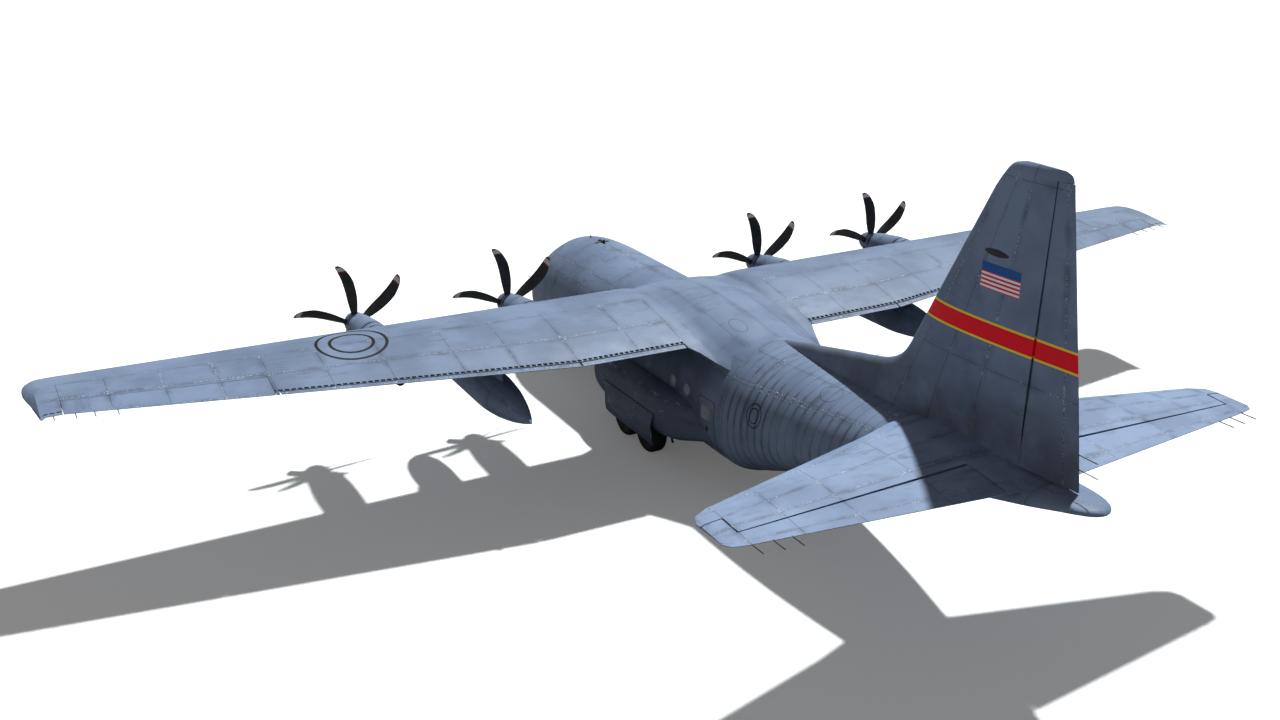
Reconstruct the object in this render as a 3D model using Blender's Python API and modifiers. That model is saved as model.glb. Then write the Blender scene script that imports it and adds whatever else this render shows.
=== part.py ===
"""Four-engine high-wing turboprop transport aircraft, as a half-size model.

The aircraft is drawn at full size in metres and hangs under one empty that is scaled to
one half. X points to port, Y points aft, Z points up and the ground is at zero.
A station is a distance aft of the nose tip; y_of() turns it into a Y coordinate, which
puts the origin on the ground halfway along the aircraft.
"""
import math

import bmesh
import bpy
from mathutils import Matrix, Vector

# Driving dimensions at full size, in metres.
MODEL_SCALE = 0.5
LENGTH = 29.79
SKIN = 0.07
FIT_GAP = 0.0012
RUN_GAP = 0.022
PIN_RADIUS = 0.02
PIN_DEPTH = 0.10
SMOOTH_ANGLE = math.radians(32)

RING_POINTS = 32
NOSE_SPLIT = 1.25
CABIN_SPLIT = 5.20
HOLD_END = 17.20
TAIL_SPLIT = 25.40
FLOOR_Z = 1.08
FLIGHT_DECK_Z = 2.05

# Each wheel stands on a flat of its many-sided outline, so its axle is that much lower.
WHEEL_X = 2.17
WHEEL_SIDES = 24
MAIN_AXLES = (("front", 11.50), ("rear", 13.04))
MAIN_TYRE_RADIUS = 0.71
MAIN_AXLE_Z = MAIN_TYRE_RADIUS * math.cos(math.pi / WHEEL_SIDES)
MAIN_TYRE_WIDTH = 0.50
AXLE_RADIUS = 0.055
NOSE_AXLE = 2.50
NOSE_TYRE_RADIUS = 0.495
NOSE_AXLE_Z = NOSE_TYRE_RADIUS * math.cos(math.pi / WHEEL_SIDES)
NOSE_LEG_TOP = 0.90

PROP_PHASE = 0.168
BLADES = 6
# Engine columns: name, X, hub height, station of the propeller plane.
ENGINES = (
    ("1", 10.16, 4.12, 8.07),
    ("2", 4.95, 4.00, 8.16),
    ("3", -4.95, 4.00, 8.16),
    ("4", -10.16, 4.12, 8.07),
)
TANK_X = 7.535
TANK_Z = 3.10

RAMP_START = 17.32
RAMP_END = 20.46
RAMP_THICKNESS = 0.20
DOOR_START = 20.58
DOOR_END = 23.90
DOOR_THICKNESS = 0.16
RAMP_HALF_WIDTH = 1.48

# Doors in the fuselage side: first and last station, lowest and highest point.
CREW_DOOR = (3.95, 4.71, 1.04, 2.20)
PARA_DOOR = (15.97, 16.88, 1.18, 3.00)

# Flight-deck windows: low and high corners as (x, station, z). The side ones are mirrored.
WINDSCREEN = ((-0.50, 2.05, 3.66), (0.50, 2.99, 4.153))
SIDE_WINDOWS = (
    ((0.57, 2.05, 3.64), (1.28, 3.08, 4.11)),
    ((1.447, 2.73, 3.31), (2.10, 3.12, 3.96)),
    ((1.447, 3.20, 3.32), (2.20, 3.74, 3.98)),
    ((1.15, 2.05, 2.72), (2.00, 2.50, 3.12)),
)
# Nose wheel bay: least and greatest X, first and last station.
NOSE_BAY = (-0.70, 0.70, 1.84, 3.16)

# Fuselage columns: station, half width, top, widest height, bottom, lower exponent.
FUSELAGE = (
    (0.00, 0.05, 2.24, 2.20, 2.16, 2.0),
    (0.06, 0.24, 2.43, 2.19, 1.95, 2.0),
    (0.25, 0.48, 2.66, 2.17, 1.69, 2.0),
    (0.65, 0.80, 2.94, 2.13, 1.36, 2.0),
    (1.25, 1.13, 3.20, 2.12, 1.09, 2.1),
    (1.90, 1.43, 3.42, 2.16, 0.93, 2.2),
    (2.35, 1.62, 3.60, 2.22, 0.86, 2.3),
    (2.80, 1.78, 4.08, 2.32, 0.81, 2.4),
    (3.25, 1.90, 4.42, 2.44, 0.77, 2.5),
    (3.80, 2.01, 4.65, 2.53, 0.74, 2.6),
    (4.60, 2.11, 4.75, 2.60, 0.72, 2.7),
    (5.60, 2.16, 4.78, 2.62, 0.72, 2.7),
    (17.20, 2.16, 4.78, 2.62, 0.72, 2.7),
    (18.00, 2.15, 4.78, 2.66, 0.90, 2.9),
    (19.20, 2.10, 4.78, 2.80, 1.24, 3.0),
    (20.60, 1.98, 4.78, 3.00, 1.68, 3.0),
    (22.20, 1.77, 4.78, 3.28, 2.24, 2.8),
    (23.90, 1.47, 4.78, 3.60, 2.88, 2.5),
    (25.40, 1.20, 4.78, 3.90, 3.42, 2.2),
    (26.80, 1.01, 4.80, 4.18, 3.86, 2.0),
    (28.20, 0.84, 4.82, 4.48, 4.22, 2.0),
    (29.00, 0.64, 4.82, 4.64, 4.44, 2.0),
    (29.50, 0.42, 4.81, 4.70, 4.56, 2.0),
    (29.74, 0.18, 4.76, 4.70, 4.64, 2.0),
    (29.79, 0.05, 4.72, 4.70, 4.68, 2.0),
)

# Wing columns: X, leading edge station and height, trailing edge station and height,
# thickness ratio, kind of trailing edge.
WING = (
    (0.00, 9.40, 4.72, 15.60, 4.30, 0.140, "full"),
    (0.90, 9.70, 4.62, 16.20, 4.24, 0.138, "full"),
    (1.45, 10.10, 4.50, 16.85, 4.02, 0.140, "full"),
    (1.75, 10.40, 4.53, 16.60, 4.10, 0.150, "full"),
    (2.05, 10.55, 4.57, 15.90, 4.28, 0.168, "full"),
    (2.24, 10.57, 4.585, 15.47, 4.33, 0.180, "full"),
    (2.25, 10.57, 4.585, 15.46, 4.33, 0.180, "flap"),
    (5.70, 10.57, 4.61, 15.45, 4.352, 0.180, "flap"),
    (14.08, 10.70, 4.80, 14.20, 4.645, 0.150, "flap"),
    (14.09, 10.70, 4.80, 14.20, 4.645, 0.150, "full"),
    (14.16, 10.70, 4.80, 14.19, 4.647, 0.150, "full"),
    (14.17, 10.70, 4.80, 14.19, 4.647, 0.150, "aileron"),
    (19.38, 10.78, 4.905, 13.40, 4.835, 0.125, "aileron"),
    (19.39, 10.78, 4.905, 13.40, 4.835, 0.125, "full"),
    (19.85, 10.84, 4.915, 13.36, 4.850, 0.115, "full"),
    (20.08, 11.02, 4.920, 13.42, 4.855, 0.080, "full"),
    (20.205, 11.45, 4.915, 13.30, 4.865, 0.030, "full"),
)
WING_CAMBER = 0.02
UPPER_FRACTIONS = (0.66, 0.48, 0.33, 0.20, 0.10, 0.035, 0.0)
LOWER_FRACTIONS = (0.03, 0.10, 0.22, 0.38, 0.56)
# Aft ring of each kind: upper edge, lower edge, then two inner points as
# (chord fraction, share of the way from the lower skin to the upper skin).
TRAILING_KINDS = {
    "full": (1.0, 0.72, (0.88, 0.0), (1.0, 0.0)),
    "flap": (0.95, 0.72, (0.738, 0.72), (0.93, 0.62)),
    "aileron": (0.718, 0.714, (0.710, 0.35), (0.710, 0.75)),
}
FLAP_NOSE = 0.752
AILERON_HINGE = 0.757
# The flaps of one side turn about a swept line below the wing: X and station of two points.
FLAP_PIVOT_LINE = ((2.29, 13.99), (14.03, 13.04))
FLAP_PIVOT_Z = 3.00
FLAP_SPANS = (("inner", 2.29, 5.68), ("outer", 5.74, 14.03))
# Section of a flap, as chord fraction and share of the way from the lower to the upper
# skin. Its top edge at 0.93 lies just under the shroud.
FLAP_SECTION = (
    (FLAP_NOSE, 0.40), (0.775, 0.66), (0.93, 0.612), (0.955, 0.56), (1.0, 1.0),
    (1.0, 0.0), (0.88, 0.0), (0.775, 0.04),
)
AILERON_SPAN = (14.22, 19.33)
AILERON_PIN_ENDS = (14.1696, 19.3804)

# Tailplane columns: X, leading edge, trailing edge, station where the fixed part ends,
# thickness ratio.
TAILPLANE_Z = 4.645
TAILPLANE = (
    (0.00, 23.35, 28.10, 28.10, 0.115),
    (1.06, 23.50, 27.92, 27.92, 0.120),
    (1.07, 23.50, 27.92, 26.44, 0.120),
    (2.11, 23.87, 27.78, 26.46, 0.120),
    (7.46, 25.33, 27.20, 26.61, 0.110),
    (7.47, 25.33, 27.20, 26.04, 0.110),
    (7.88, 25.55, 27.12, 26.04, 0.090),
    (8.03, 25.86, 26.90, 26.04, 0.050),
)
# Elevator columns: X, station of the nose, trailing edge.
ELEVATOR = (
    (1.10, 26.47, 27.91),
    (7.50, 26.64, 27.195),
    (7.52, 26.08, 27.19),
    (7.86, 26.08, 27.12),
    (8.01, 26.09, 26.93),
)
# Hinge lines as (distance along the span, station), and how far their end pins reach.
ELEVATOR_HINGE = ((1.10, 26.60), (7.50, 26.72))
ELEVATOR_PIN_END = 1.0699

# The tail surfaces are hollow and open towards their control surfaces. Spaces of the
# tailplane: X, aft end, distance from the leading edge. Of the fin: Z, that distance.
TAIL_WALL = 0.03
TAILPLANE_SPACE = ((0.0, 26.30, 0.30), (1.10, 26.30, 0.30), (1.25, 26.56, 0.30), (7.30, 26.71, 0.16))
FIN_SPACE = ((5.10, 0.70), (5.70, 0.50), (6.22, 0.35), (6.80, 0.30), (11.30, 0.20))
TAIL_SPACE_END = 28.70

# Fin columns: Z, leading edge, trailing edge, station where the fixed part ends, thickness.
FIN = (
    (4.40, 16.80, 28.95, 28.60, 0.56),
    (4.86, 18.30, 28.95, 28.60, 0.56),
    (4.87, 18.34, 28.95, 27.08, 0.56),
    (5.20, 20.20, 28.90, 27.10, 0.56),
    (5.70, 21.80, 28.82, 27.12, 0.57),
    (6.22, 22.72, 28.74, 27.14, 0.58),
    (6.80, 23.12, 28.65, 27.16, 0.58),
    (11.10, 25.46, 27.90, 27.32, 0.33),
    (11.60, 25.82, 27.80, 27.33, 0.29),
    (11.61, 25.83, 27.80, 27.80, 0.29),
    (11.76, 26.02, 27.74, 27.74, 0.22),
    (11.84, 26.35, 27.55, 27.55, 0.08),
)
# Rudder columns: Z, station of the nose, trailing edge, thickness at the nose.
RUDDER = (
    (4.90, 27.11, 28.95, 0.34),
    (6.80, 27.19, 28.65, 0.27),
    (11.56, 27.36, 27.82, 0.13),
)
RUDDER_HINGE = ((4.90, 27.30), (11.56, 27.44))
RUDDER_PIN_ENDS = (4.8698, 11.6012)

# Nacelle columns: distance aft of the propeller plane, half width, top, bottom,
# the last two from the hub's height.
NACELLE = (
    (0.26, 0.36, 0.37, -0.52),
    (0.34, 0.44, 0.43, -0.66),
    (0.90, 0.52, 0.52, -0.84),
    (1.70, 0.57, 0.60, -0.90),
    (2.60, 0.58, 0.60, -0.88),
    (3.60, 0.54, 0.56, -0.78),
    (4.60, 0.43, 0.56, -0.60),
    (5.20, 0.30, 0.56, -0.44),
    (5.58, 0.18, 0.53, -0.28),
)

# Sponson columns: station, outer half width, top, bottom.
SPONSON = (
    (8.95, 1.98, 2.35, 1.45),
    (9.35, 2.38, 2.56, 1.16),
    (10.00, 2.64, 2.66, 1.02),
    (10.90, 2.76, 2.70, 0.97),
    (14.20, 2.76, 2.70, 0.97),
    (14.95, 2.64, 2.64, 1.12),
    (15.55, 2.41, 2.54, 1.45),
    (15.93, 2.16, 2.40, 1.85),
)
SPONSON_ROOT_X = 1.55
SPONSON_POWER = 0.75
# Wheel well: first and last station, height of its roof.
WELL = (10.62, 13.95, 1.62)
WELL_SIDES = (1.50, 2.68)
# Main gear door: its two ends, then its outer face as (x, z) from the top down.
GEAR_DOOR_STATIONS = (10.90, 14.28)
GEAR_DOOR_PROFILE = ((2.7962, 1.835), (2.87, 1.62), (2.91, 1.36), (2.90, 1.12), (2.82, 0.86))
GEAR_DOOR_THICKNESS = 0.035
# Centre line of a main leg and its axle, as (x, z). The leg passes inboard of the tyre.
MAIN_LEG_PATH = (
    (2.12, 2.10), (2.12, 1.70), (1.845, 1.32), (1.845, MAIN_AXLE_Z), (2.40, MAIN_AXLE_Z),
)
# Slots in the fuselage side that clear the legs: half length, x range, z range.
LEG_SLOT = (0.10, (1.76, 2.30), (1.18, 1.92))
NOSE_GEAR_DOOR = (0.032, 0.50, 1.12)

# Turned profiles: (radius, distance along the axis) down the outer side.
TANK_PROFILE = (
    (0.0, 8.72), (0.20, 8.80), (0.40, 9.08), (0.54, 9.60), (0.60, 10.40), (0.60, 13.00),
    (0.54, 13.80), (0.38, 14.70), (0.17, 15.45), (0.0, 15.90),
)
# The spinner ends in a shaft that just meets the nacelle's front face.
SPINNER_PROFILE = (
    (0.0, -0.62), (0.14, -0.58), (0.26, -0.45), (0.35, -0.22), (0.38, 0.05), (0.38, 0.22),
    (0.12, 0.22), (0.12, 0.2588), (0.0, 0.2588),
)
# Blade columns: radius, sweep angle in degrees, chord, thickness, pitch in degrees.
BLADE = (
    (0.30, 0.0, 0.17, 0.120, 52),
    (0.55, -2.6, 0.25, 0.070, 48),
    (0.95, -3.6, 0.31, 0.045, 42),
    (1.40, -2.4, 0.32, 0.032, 36),
    (1.75, 0.6, 0.27, 0.024, 31),
    (1.96, 3.0, 0.20, 0.018, 28),
    (2.055, 4.6, 0.09, 0.012, 27),
)
# Blade section as shares of the chord and of the thickness.
BLADE_RING = ((0.5, 0.0), (0.2, 0.5), (-0.25, 0.42), (-0.5, 0.0), (-0.25, -0.42), (0.2, -0.5))

# Twin nose wheel with its axle: (radius, distance across) from one hub to the other.
NOSE_WHEEL_PROFILE = (
    (0.0, -0.36), (0.14, -0.36), (0.24, -0.33), (0.40, -0.365), (0.47, -0.34),
    (NOSE_TYRE_RADIUS, -0.28), (NOSE_TYRE_RADIUS, -0.22), (0.47, -0.16), (0.40, -0.13),
    (0.20, -0.15), (0.10, -0.12), (AXLE_RADIUS, -0.12), (AXLE_RADIUS, 0.12), (0.10, 0.12),
    (0.20, 0.15), (0.40, 0.13), (0.47, 0.16), (NOSE_TYRE_RADIUS, 0.22),
    (NOSE_TYRE_RADIUS, 0.28), (0.47, 0.34), (0.40, 0.365), (0.24, 0.33), (0.14, 0.36),
    (0.0, 0.36),
)

# Floors: name, first station, last station, top, thickness.
FLOORS = (
    ("cargo_floor", 3.30, HOLD_END - 0.02, FLOOR_Z, 0.14),
    ("flight_deck_floor", 1.95, 3.88, FLIGHT_DECK_Z, 0.10),
)
# Pilot seats: distance from the centre plane, half width, side outline as
# (station, height above the deck).
SEAT_X = 0.62
SEAT_HALF_WIDTH = 0.27
SEAT_OUTLINE = (
    (3.05, 0.0), (3.05, 0.42), (2.98, 0.55), (3.42, 0.53), (3.52, 1.28), (3.64, 1.26),
    (3.56, 0.40), (3.35, 0.38), (3.35, 0.0),
)

PARTS = "transport_aircraft"
CUTTERS = "cutters"

# Material columns: name, colour, roughness, metallic.
MATERIALS = (
    ("paint", (0.26, 0.31, 0.42), 0.5, 0.1),
    ("radome_paint", (0.22, 0.26, 0.35), 0.55, 0.0),
    ("propeller_black", (0.02, 0.02, 0.022), 0.4, 0.1),
    ("tyre", (0.015, 0.015, 0.016), 0.85, 0.0),
    ("gear_metal", (0.55, 0.56, 0.58), 0.35, 0.8),
    ("glass", (0.05, 0.06, 0.07), 0.08, 0.0),
    ("interior", (0.30, 0.33, 0.34), 0.7, 0.0),
    ("seat", (0.08, 0.10, 0.09), 0.9, 0.0),
)


def y_of(station):
    return station - LENGTH / 2


def clear_scene():
    for obj in list(bpy.data.objects):
        bpy.data.objects.remove(obj, do_unlink=True)


def make_collections():
    for name in (PARTS, CUTTERS):
        bpy.context.scene.collection.children.link(bpy.data.collections.new(name))


def make_materials():
    for name, colour, roughness, metallic in MATERIALS:
        material = bpy.data.materials.new(name)
        material.use_nodes = True
        shader = material.node_tree.nodes["Principled BSDF"]
        shader.inputs["Base Color"].default_value = (*colour, 1.0)
        shader.inputs["Roughness"].default_value = roughness
        shader.inputs["Metallic"].default_value = metallic


def make_scale_empty():
    empty = bpy.data.objects.new("half_size", None)
    empty.scale = (MODEL_SCALE, MODEL_SCALE, MODEL_SCALE)
    bpy.data.collections[PARTS].objects.link(empty)
    return empty


def add_part(name, mesh, material, pivot=(0.0, 0.0, 0.0)):
    """Link a mesh as a named part whose origin lies at pivot."""
    mesh.transform(Matrix.Translation(-Vector(pivot)))
    mesh.materials.clear()
    mesh.materials.append(bpy.data.materials[material])
    mesh.shade_smooth()
    mesh.set_sharp_from_angle(angle=SMOOTH_ANGLE)
    obj = bpy.data.objects.new(name, mesh)
    obj.location = pivot
    obj.parent = bpy.data.objects["half_size"]
    bpy.data.collections[PARTS].objects.link(obj)
    return obj


def add_cutter(name, mesh):
    obj = bpy.data.objects.new(name, mesh)
    obj.parent = bpy.data.objects["half_size"]
    obj.hide_render = True
    obj.display_type = "WIRE"
    bpy.data.collections[CUTTERS].objects.link(obj)
    return obj


def boolean(obj, other, operation="DIFFERENCE"):
    modifier = obj.modifiers.new(operation.lower(), "BOOLEAN")
    modifier.operation = operation
    modifier.solver = "EXACT"
    modifier.object = other


def mirror_x(obj):
    modifier = obj.modifiers.new("mirror", "MIRROR")
    modifier.use_axis = (True, False, False)
    modifier.merge_threshold = 0.0001


def finish_mesh(bm, name):
    """Triangulate, so that warped quads stay as they are through the Booleans."""
    bmesh.ops.triangulate(bm, faces=bm.faces)
    bmesh.ops.recalc_face_normals(bm, faces=bm.faces)
    mesh = bpy.data.meshes.new(name)
    bm.to_mesh(mesh)
    bm.free()
    return mesh


def loft(name, rings, cap_start=True, cap_end=True):
    """Skin closed rings of equal length, with flat caps."""
    bm = bmesh.new()
    rows = [[bm.verts.new(point) for point in ring] for ring in rings]
    count = len(rows[0])
    for low, high in zip(rows, rows[1:]):
        for k in range(count):
            bm.faces.new((low[k], low[(k + 1) % count], high[(k + 1) % count], high[k]))
    if cap_start:
        bm.faces.new(rows[0])
    if cap_end:
        bm.faces.new(rows[-1])
    return finish_mesh(bm, name)


def tube_shell(name, outer, inner):
    """Skin an outer and an inner row of rings into an open-ended shell."""
    bm = bmesh.new()
    skins = [[[bm.verts.new(p) for p in ring] for ring in rings] for rings in (outer, inner)]
    count = len(outer[0])
    for rows in skins:
        for low, high in zip(rows, rows[1:]):
            for k in range(count):
                bm.faces.new((low[k], low[(k + 1) % count], high[(k + 1) % count], high[k]))
    for end in (0, -1):
        ring_out, ring_in = skins[0][end], skins[1][end]
        for k in range(count):
            nxt = (k + 1) % count
            bm.faces.new((ring_out[k], ring_out[nxt], ring_in[nxt], ring_in[k]))
    return finish_mesh(bm, name)


def panel(name, rows, columns, outer, inner):
    """Make a slab between two surfaces, each a function of a row and a column value."""
    bm = bmesh.new()
    sides = []
    for surface in (outer, inner):
        sides.append([[bm.verts.new(surface(r, c)) for c in columns] for r in rows])
    for grid in sides:
        for i in range(len(rows) - 1):
            for j in range(len(columns) - 1):
                bm.faces.new((grid[i][j], grid[i + 1][j], grid[i + 1][j + 1], grid[i][j + 1]))
    out, inn = sides
    last_row, last_col = len(rows) - 1, len(columns) - 1
    for i in range(last_row):
        for j in (0, last_col):
            bm.faces.new((out[i][j], out[i + 1][j], inn[i + 1][j], inn[i][j]))
    for j in range(last_col):
        for i in (0, last_row):
            bm.faces.new((out[i][j], out[i][j + 1], inn[i][j + 1], inn[i][j]))
    return finish_mesh(bm, name)


def box_mesh(name, low, high):
    bm = bmesh.new()
    bmesh.ops.create_cube(bm, size=1.0)
    size = [b - a for a, b in zip(low, high)]
    middle = [(a + b) / 2 for a, b in zip(low, high)]
    bmesh.ops.scale(bm, vec=size, verts=bm.verts)
    bmesh.ops.translate(bm, vec=middle, verts=bm.verts)
    return finish_mesh(bm, name)


def rod_mesh(name, start, end, radius, sides=16):
    start, end = Vector(start), Vector(end)
    bm = bmesh.new()
    turn = (end - start).to_track_quat("Z", "Y").to_matrix().to_4x4()
    bmesh.ops.create_cone(
        bm, cap_ends=True, segments=sides, radius1=radius, radius2=radius,
        depth=(end - start).length, matrix=Matrix.Translation((start + end) / 2) @ turn)
    return finish_mesh(bm, name)


def welded_mesh(name, obj):
    """Evaluate a helper object once, weld its loose ends and remove it."""
    graph = bpy.context.evaluated_depsgraph_get()
    mesh = bpy.data.meshes.new_from_object(obj.evaluated_get(graph))
    bpy.data.objects.remove(obj, do_unlink=True)
    bm = bmesh.new()
    bm.from_mesh(mesh)
    bpy.data.meshes.remove(mesh)
    bmesh.ops.remove_doubles(bm, verts=bm.verts, dist=0.0001)
    return finish_mesh(bm, name)


def helper_object(data):
    obj = bpy.data.objects.new("helper", data)
    bpy.data.collections[CUTTERS].objects.link(obj)
    return obj


def turned_mesh(name, profile, axis, centre, sides):
    """Turn (radius, distance) pairs about axis Y or X through centre.

    The flats of the many-sided shape face straight up and down.
    """
    bm = bmesh.new()
    verts = [bm.verts.new((radius, 0.0, -along)) for radius, along in profile]
    if profile[0][0] > 0.0:
        verts.append(verts[0])
    for a, b in zip(verts, verts[1:]):
        bm.edges.new((a, b))
    line = bpy.data.meshes.new("profile")
    bm.to_mesh(line)
    bm.free()
    obj = helper_object(line)
    screw = obj.modifiers.new("turn", "SCREW")
    screw.axis = "Z"
    screw.steps = screw.render_steps = sides
    screw.use_merge_vertices = True
    screw.merge_threshold = 0.0001
    mesh = welded_mesh(name, obj)
    half_step = Matrix.Rotation(math.pi / sides, 4, "Z")
    if axis == "X":
        lay_down = Matrix.Rotation(-math.pi / 2, 4, "Y")
    else:
        lay_down = Matrix.Rotation(math.pi / 2, 4, "X")
    mesh.transform(Matrix.Translation(centre) @ lay_down @ half_step)
    return mesh


def outline_mesh(name, outline, half_width, x):
    """A flat outline in the plane of (y, z), as thick as twice the half width."""
    curve = bpy.data.curves.new(name, "CURVE")
    curve.dimensions = "2D"
    curve.fill_mode = "BOTH"
    curve.extrude = half_width
    spline = curve.splines.new("POLY")
    spline.points.add(len(outline) - 1)
    for point, (y, z) in zip(spline.points, outline):
        point.co = (y, z, 0.0, 1.0)
    spline.use_cyclic_u = True
    mesh = welded_mesh(name, helper_object(curve))
    stand_up = Matrix(((0, 0, 1, 0), (1, 0, 0, 0), (0, 1, 0, 0), (0, 0, 0, 1)))
    mesh.transform(Matrix.Translation((x, 0.0, 0.0)) @ stand_up)
    return mesh


def tube_mesh(points, radius):
    """Round tube along straight runs, as a closed mesh."""
    curve = bpy.data.curves.new("tube", "CURVE")
    curve.dimensions = "3D"
    curve.bevel_depth = radius
    curve.bevel_resolution = 4
    curve.use_fill_caps = True
    spline = curve.splines.new("POLY")
    spline.points.add(len(points) - 1)
    for point, place in zip(spline.points, points):
        point.co = (*place, 1.0)
    return welded_mesh("tube", helper_object(curve))


def merged(name, first, others, operation="UNION"):
    """Apply Booleans once and return the plain mesh."""
    base = helper_object(first)
    helpers = []
    for mesh, kind in others:
        helpers.append(helper_object(mesh))
        boolean(base, helpers[-1], kind)
    graph = bpy.context.evaluated_depsgraph_get()
    result = bpy.data.meshes.new_from_object(base.evaluated_get(graph))
    result.name = name
    for obj in [base] + helpers:
        bpy.data.objects.remove(obj, do_unlink=True)
    return result


def with_pins(name, mesh, hinge_start, hinge_end, reaches):
    """Add end pins on the hinge line. Each reach is how far a pin stands past its end."""
    start, end = Vector(hinge_start), Vector(hinge_end)
    way = (end - start).normalized()
    pins = [(rod_mesh("pin", start - way * reaches[0], start + way * PIN_DEPTH, PIN_RADIUS, 10),
             "UNION")]
    if len(reaches) > 1:
        pins.append((rod_mesh("pin", end - way * PIN_DEPTH, end + way * reaches[1],
                              PIN_RADIUS, 10), "UNION"))
    return merged(name, mesh, pins)


def interpolate(table, key):
    """Read a row of a table at key, in straight lines between its rows."""
    if key <= table[0][0]:
        return table[0][1:]
    if key >= table[-1][0]:
        return table[-1][1:]
    i = max(k for k in range(len(table) - 1) if table[k][0] <= key)
    t = (key - table[i][0]) / (table[i + 1][0] - table[i][0])
    return tuple(a + (b - a) * t for a, b in zip(table[i][1:], table[i + 1][1:]))


def signed_power(value, power):
    return math.copysign(abs(value) ** power, value)


def fuselage_ring(station, inset=0.0):
    half, top, widest, bottom, lower = interpolate(FUSELAGE, station)
    ring = []
    for k in range(RING_POINTS):
        angle = 2 * math.pi * k / RING_POINTS
        across, up = math.cos(angle), math.sin(angle)
        power = 1.0 if up >= 0 else 2 / lower
        rise = (top - widest if up >= 0 else widest - bottom) - inset
        ring.append(((half - inset) * signed_power(across, power), y_of(station),
                     widest + rise * signed_power(up, power)))
    return ring


def skin_x(station, z, inset=0.0):
    """Half width of the fuselage at a height."""
    half, top, widest, bottom, lower = interpolate(FUSELAGE, station)
    power = 2.0 if z >= widest else lower
    rise = (top - widest if z >= widest else widest - bottom) - inset
    share = min(abs(z - widest) / rise, 1.0)
    return (half - inset) * (1 - share ** power) ** (1 / power)


def belly_z(station, x, inset=0.0):
    """Height of the fuselage's underside at a distance from the centre plane."""
    half, _, widest, bottom, lower = interpolate(FUSELAGE, station)
    share = min(abs(x) / (half - inset), 1.0)
    return widest - (widest - bottom - inset) * (1 - share ** lower) ** (1 / lower)


def stations_between(start, end):
    inner = [row[0] for row in FUSELAGE if start + 0.01 < row[0] < end - 0.01]
    return [start] + inner + [end]


def fuselage_solid(name, start, end, inset=0.0):
    return loft(name, [fuselage_ring(s, inset) for s in stations_between(start, end)])


def fuselage_shell(name, start, end):
    stations = stations_between(start, end)
    outer = [fuselage_ring(s) for s in stations]
    inner = [fuselage_ring(s, SKIN) for s in stations]
    return tube_shell(name, outer, inner)


def half_thickness(fraction, ratio):
    x = max(fraction, 0.0)
    return 5 * ratio * (0.2969 * math.sqrt(x) - 0.1260 * x - 0.3516 * x ** 2
                        + 0.2843 * x ** 3 - 0.1015 * x ** 4)


def camber_line(fraction, camber):
    peak = 0.4
    if fraction < peak:
        return camber / peak ** 2 * (2 * peak * fraction - fraction ** 2)
    return camber / (1 - peak) ** 2 * ((1 - 2 * peak) + 2 * peak * fraction - fraction ** 2)


def wing_row(x):
    """Leading edge, trailing edge and thickness ratio at a distance from the centre."""
    plain = [row[:6] for row in WING]
    return interpolate(plain, x)


def wing_point(x, fraction, share, grow=0.0):
    """A point of the wing: share 0 is the lower skin, 1 the upper skin."""
    le_s, le_z, te_s, te_z, ratio = wing_row(x)
    chord = te_s - le_s
    middle = camber_line(fraction, WING_CAMBER)
    half = half_thickness(fraction, ratio) + grow / chord
    height = (middle + half * (2 * share - 1)) * chord
    station = le_s + fraction * chord + grow * (2 * fraction - 1)
    return (x, y_of(station), le_z + (te_z - le_z) * fraction + height)


def wing_ring(x, kind, grow=0.0):
    upper_end, lower_end, inner_a, inner_b = TRAILING_KINDS[kind]
    points = [(upper_end, 1.0)]
    points += [(f, 1.0) for f in UPPER_FRACTIONS]
    points += [(f, 0.0) for f in LOWER_FRACTIONS]
    points += [(lower_end, 0.0), inner_a, inner_b]
    return [wing_point(x, f, share, grow) for f, share in points]


def wing_half(name, rows, grow=0.0, plain=False):
    rings = [wing_ring(x, "full" if plain else kind, grow) for x, kind in rows]
    return loft(name, rings, cap_start=False)


def make_wing():
    rows = [(row[0], row[6]) for row in WING]
    mirror_x(add_part("wing", wing_half("wing", rows), "paint"))
    mirror_x(add_cutter("wing_cutter", wing_half("wing_cutter", rows, FIT_GAP, plain=True)))


def side_parts(name, mesh_maker, material, pivot=(0.0, 0.0, 0.0)):
    """Make a piece on the port side and its mirror image to starboard."""
    made = []
    for side, sign in (("port", 1), ("starboard", -1)):
        mesh = mesh_maker()
        if sign < 0:
            mesh.transform(Matrix.Diagonal((-1, 1, 1, 1)))
            mesh.flip_normals()
        place = (pivot[0] * sign, pivot[1], pivot[2])
        made.append(add_part(name.format(side=side), mesh, material, place))
    return made


def flap_ring(x):
    return [wing_point(x, fraction, share) for fraction, share in FLAP_SECTION]


def make_flaps():
    for name, start, end in FLAP_SPANS:
        def flap(start=start, end=end):
            return loft("flap", [flap_ring(start), flap_ring(end)])
        (x_in, s_in), (x_out, s_out) = FLAP_PIVOT_LINE
        station = s_in + (s_out - s_in) * (start - x_in) / (x_out - x_in)
        pivot = (start, y_of(station), FLAP_PIVOT_Z)
        side_parts("flap_" + name + "_{side}", flap, "paint", pivot)


def aileron_ring(x):
    le_s, _, te_s, _, ratio = wing_row(x)
    radius = half_thickness(AILERON_HINGE, ratio) * (te_s - le_s)
    centre = wing_point(x, AILERON_HINGE, 0.5)
    ring = [wing_point(x, 1.0, 0.0), wing_point(x, 1.0, 1.0)]
    for k in range(5):
        angle = math.pi / 2 + math.pi * k / 4
        ring.append((x, centre[1] + radius * math.cos(angle), centre[2] + radius * math.sin(angle)))
    return ring


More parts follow.
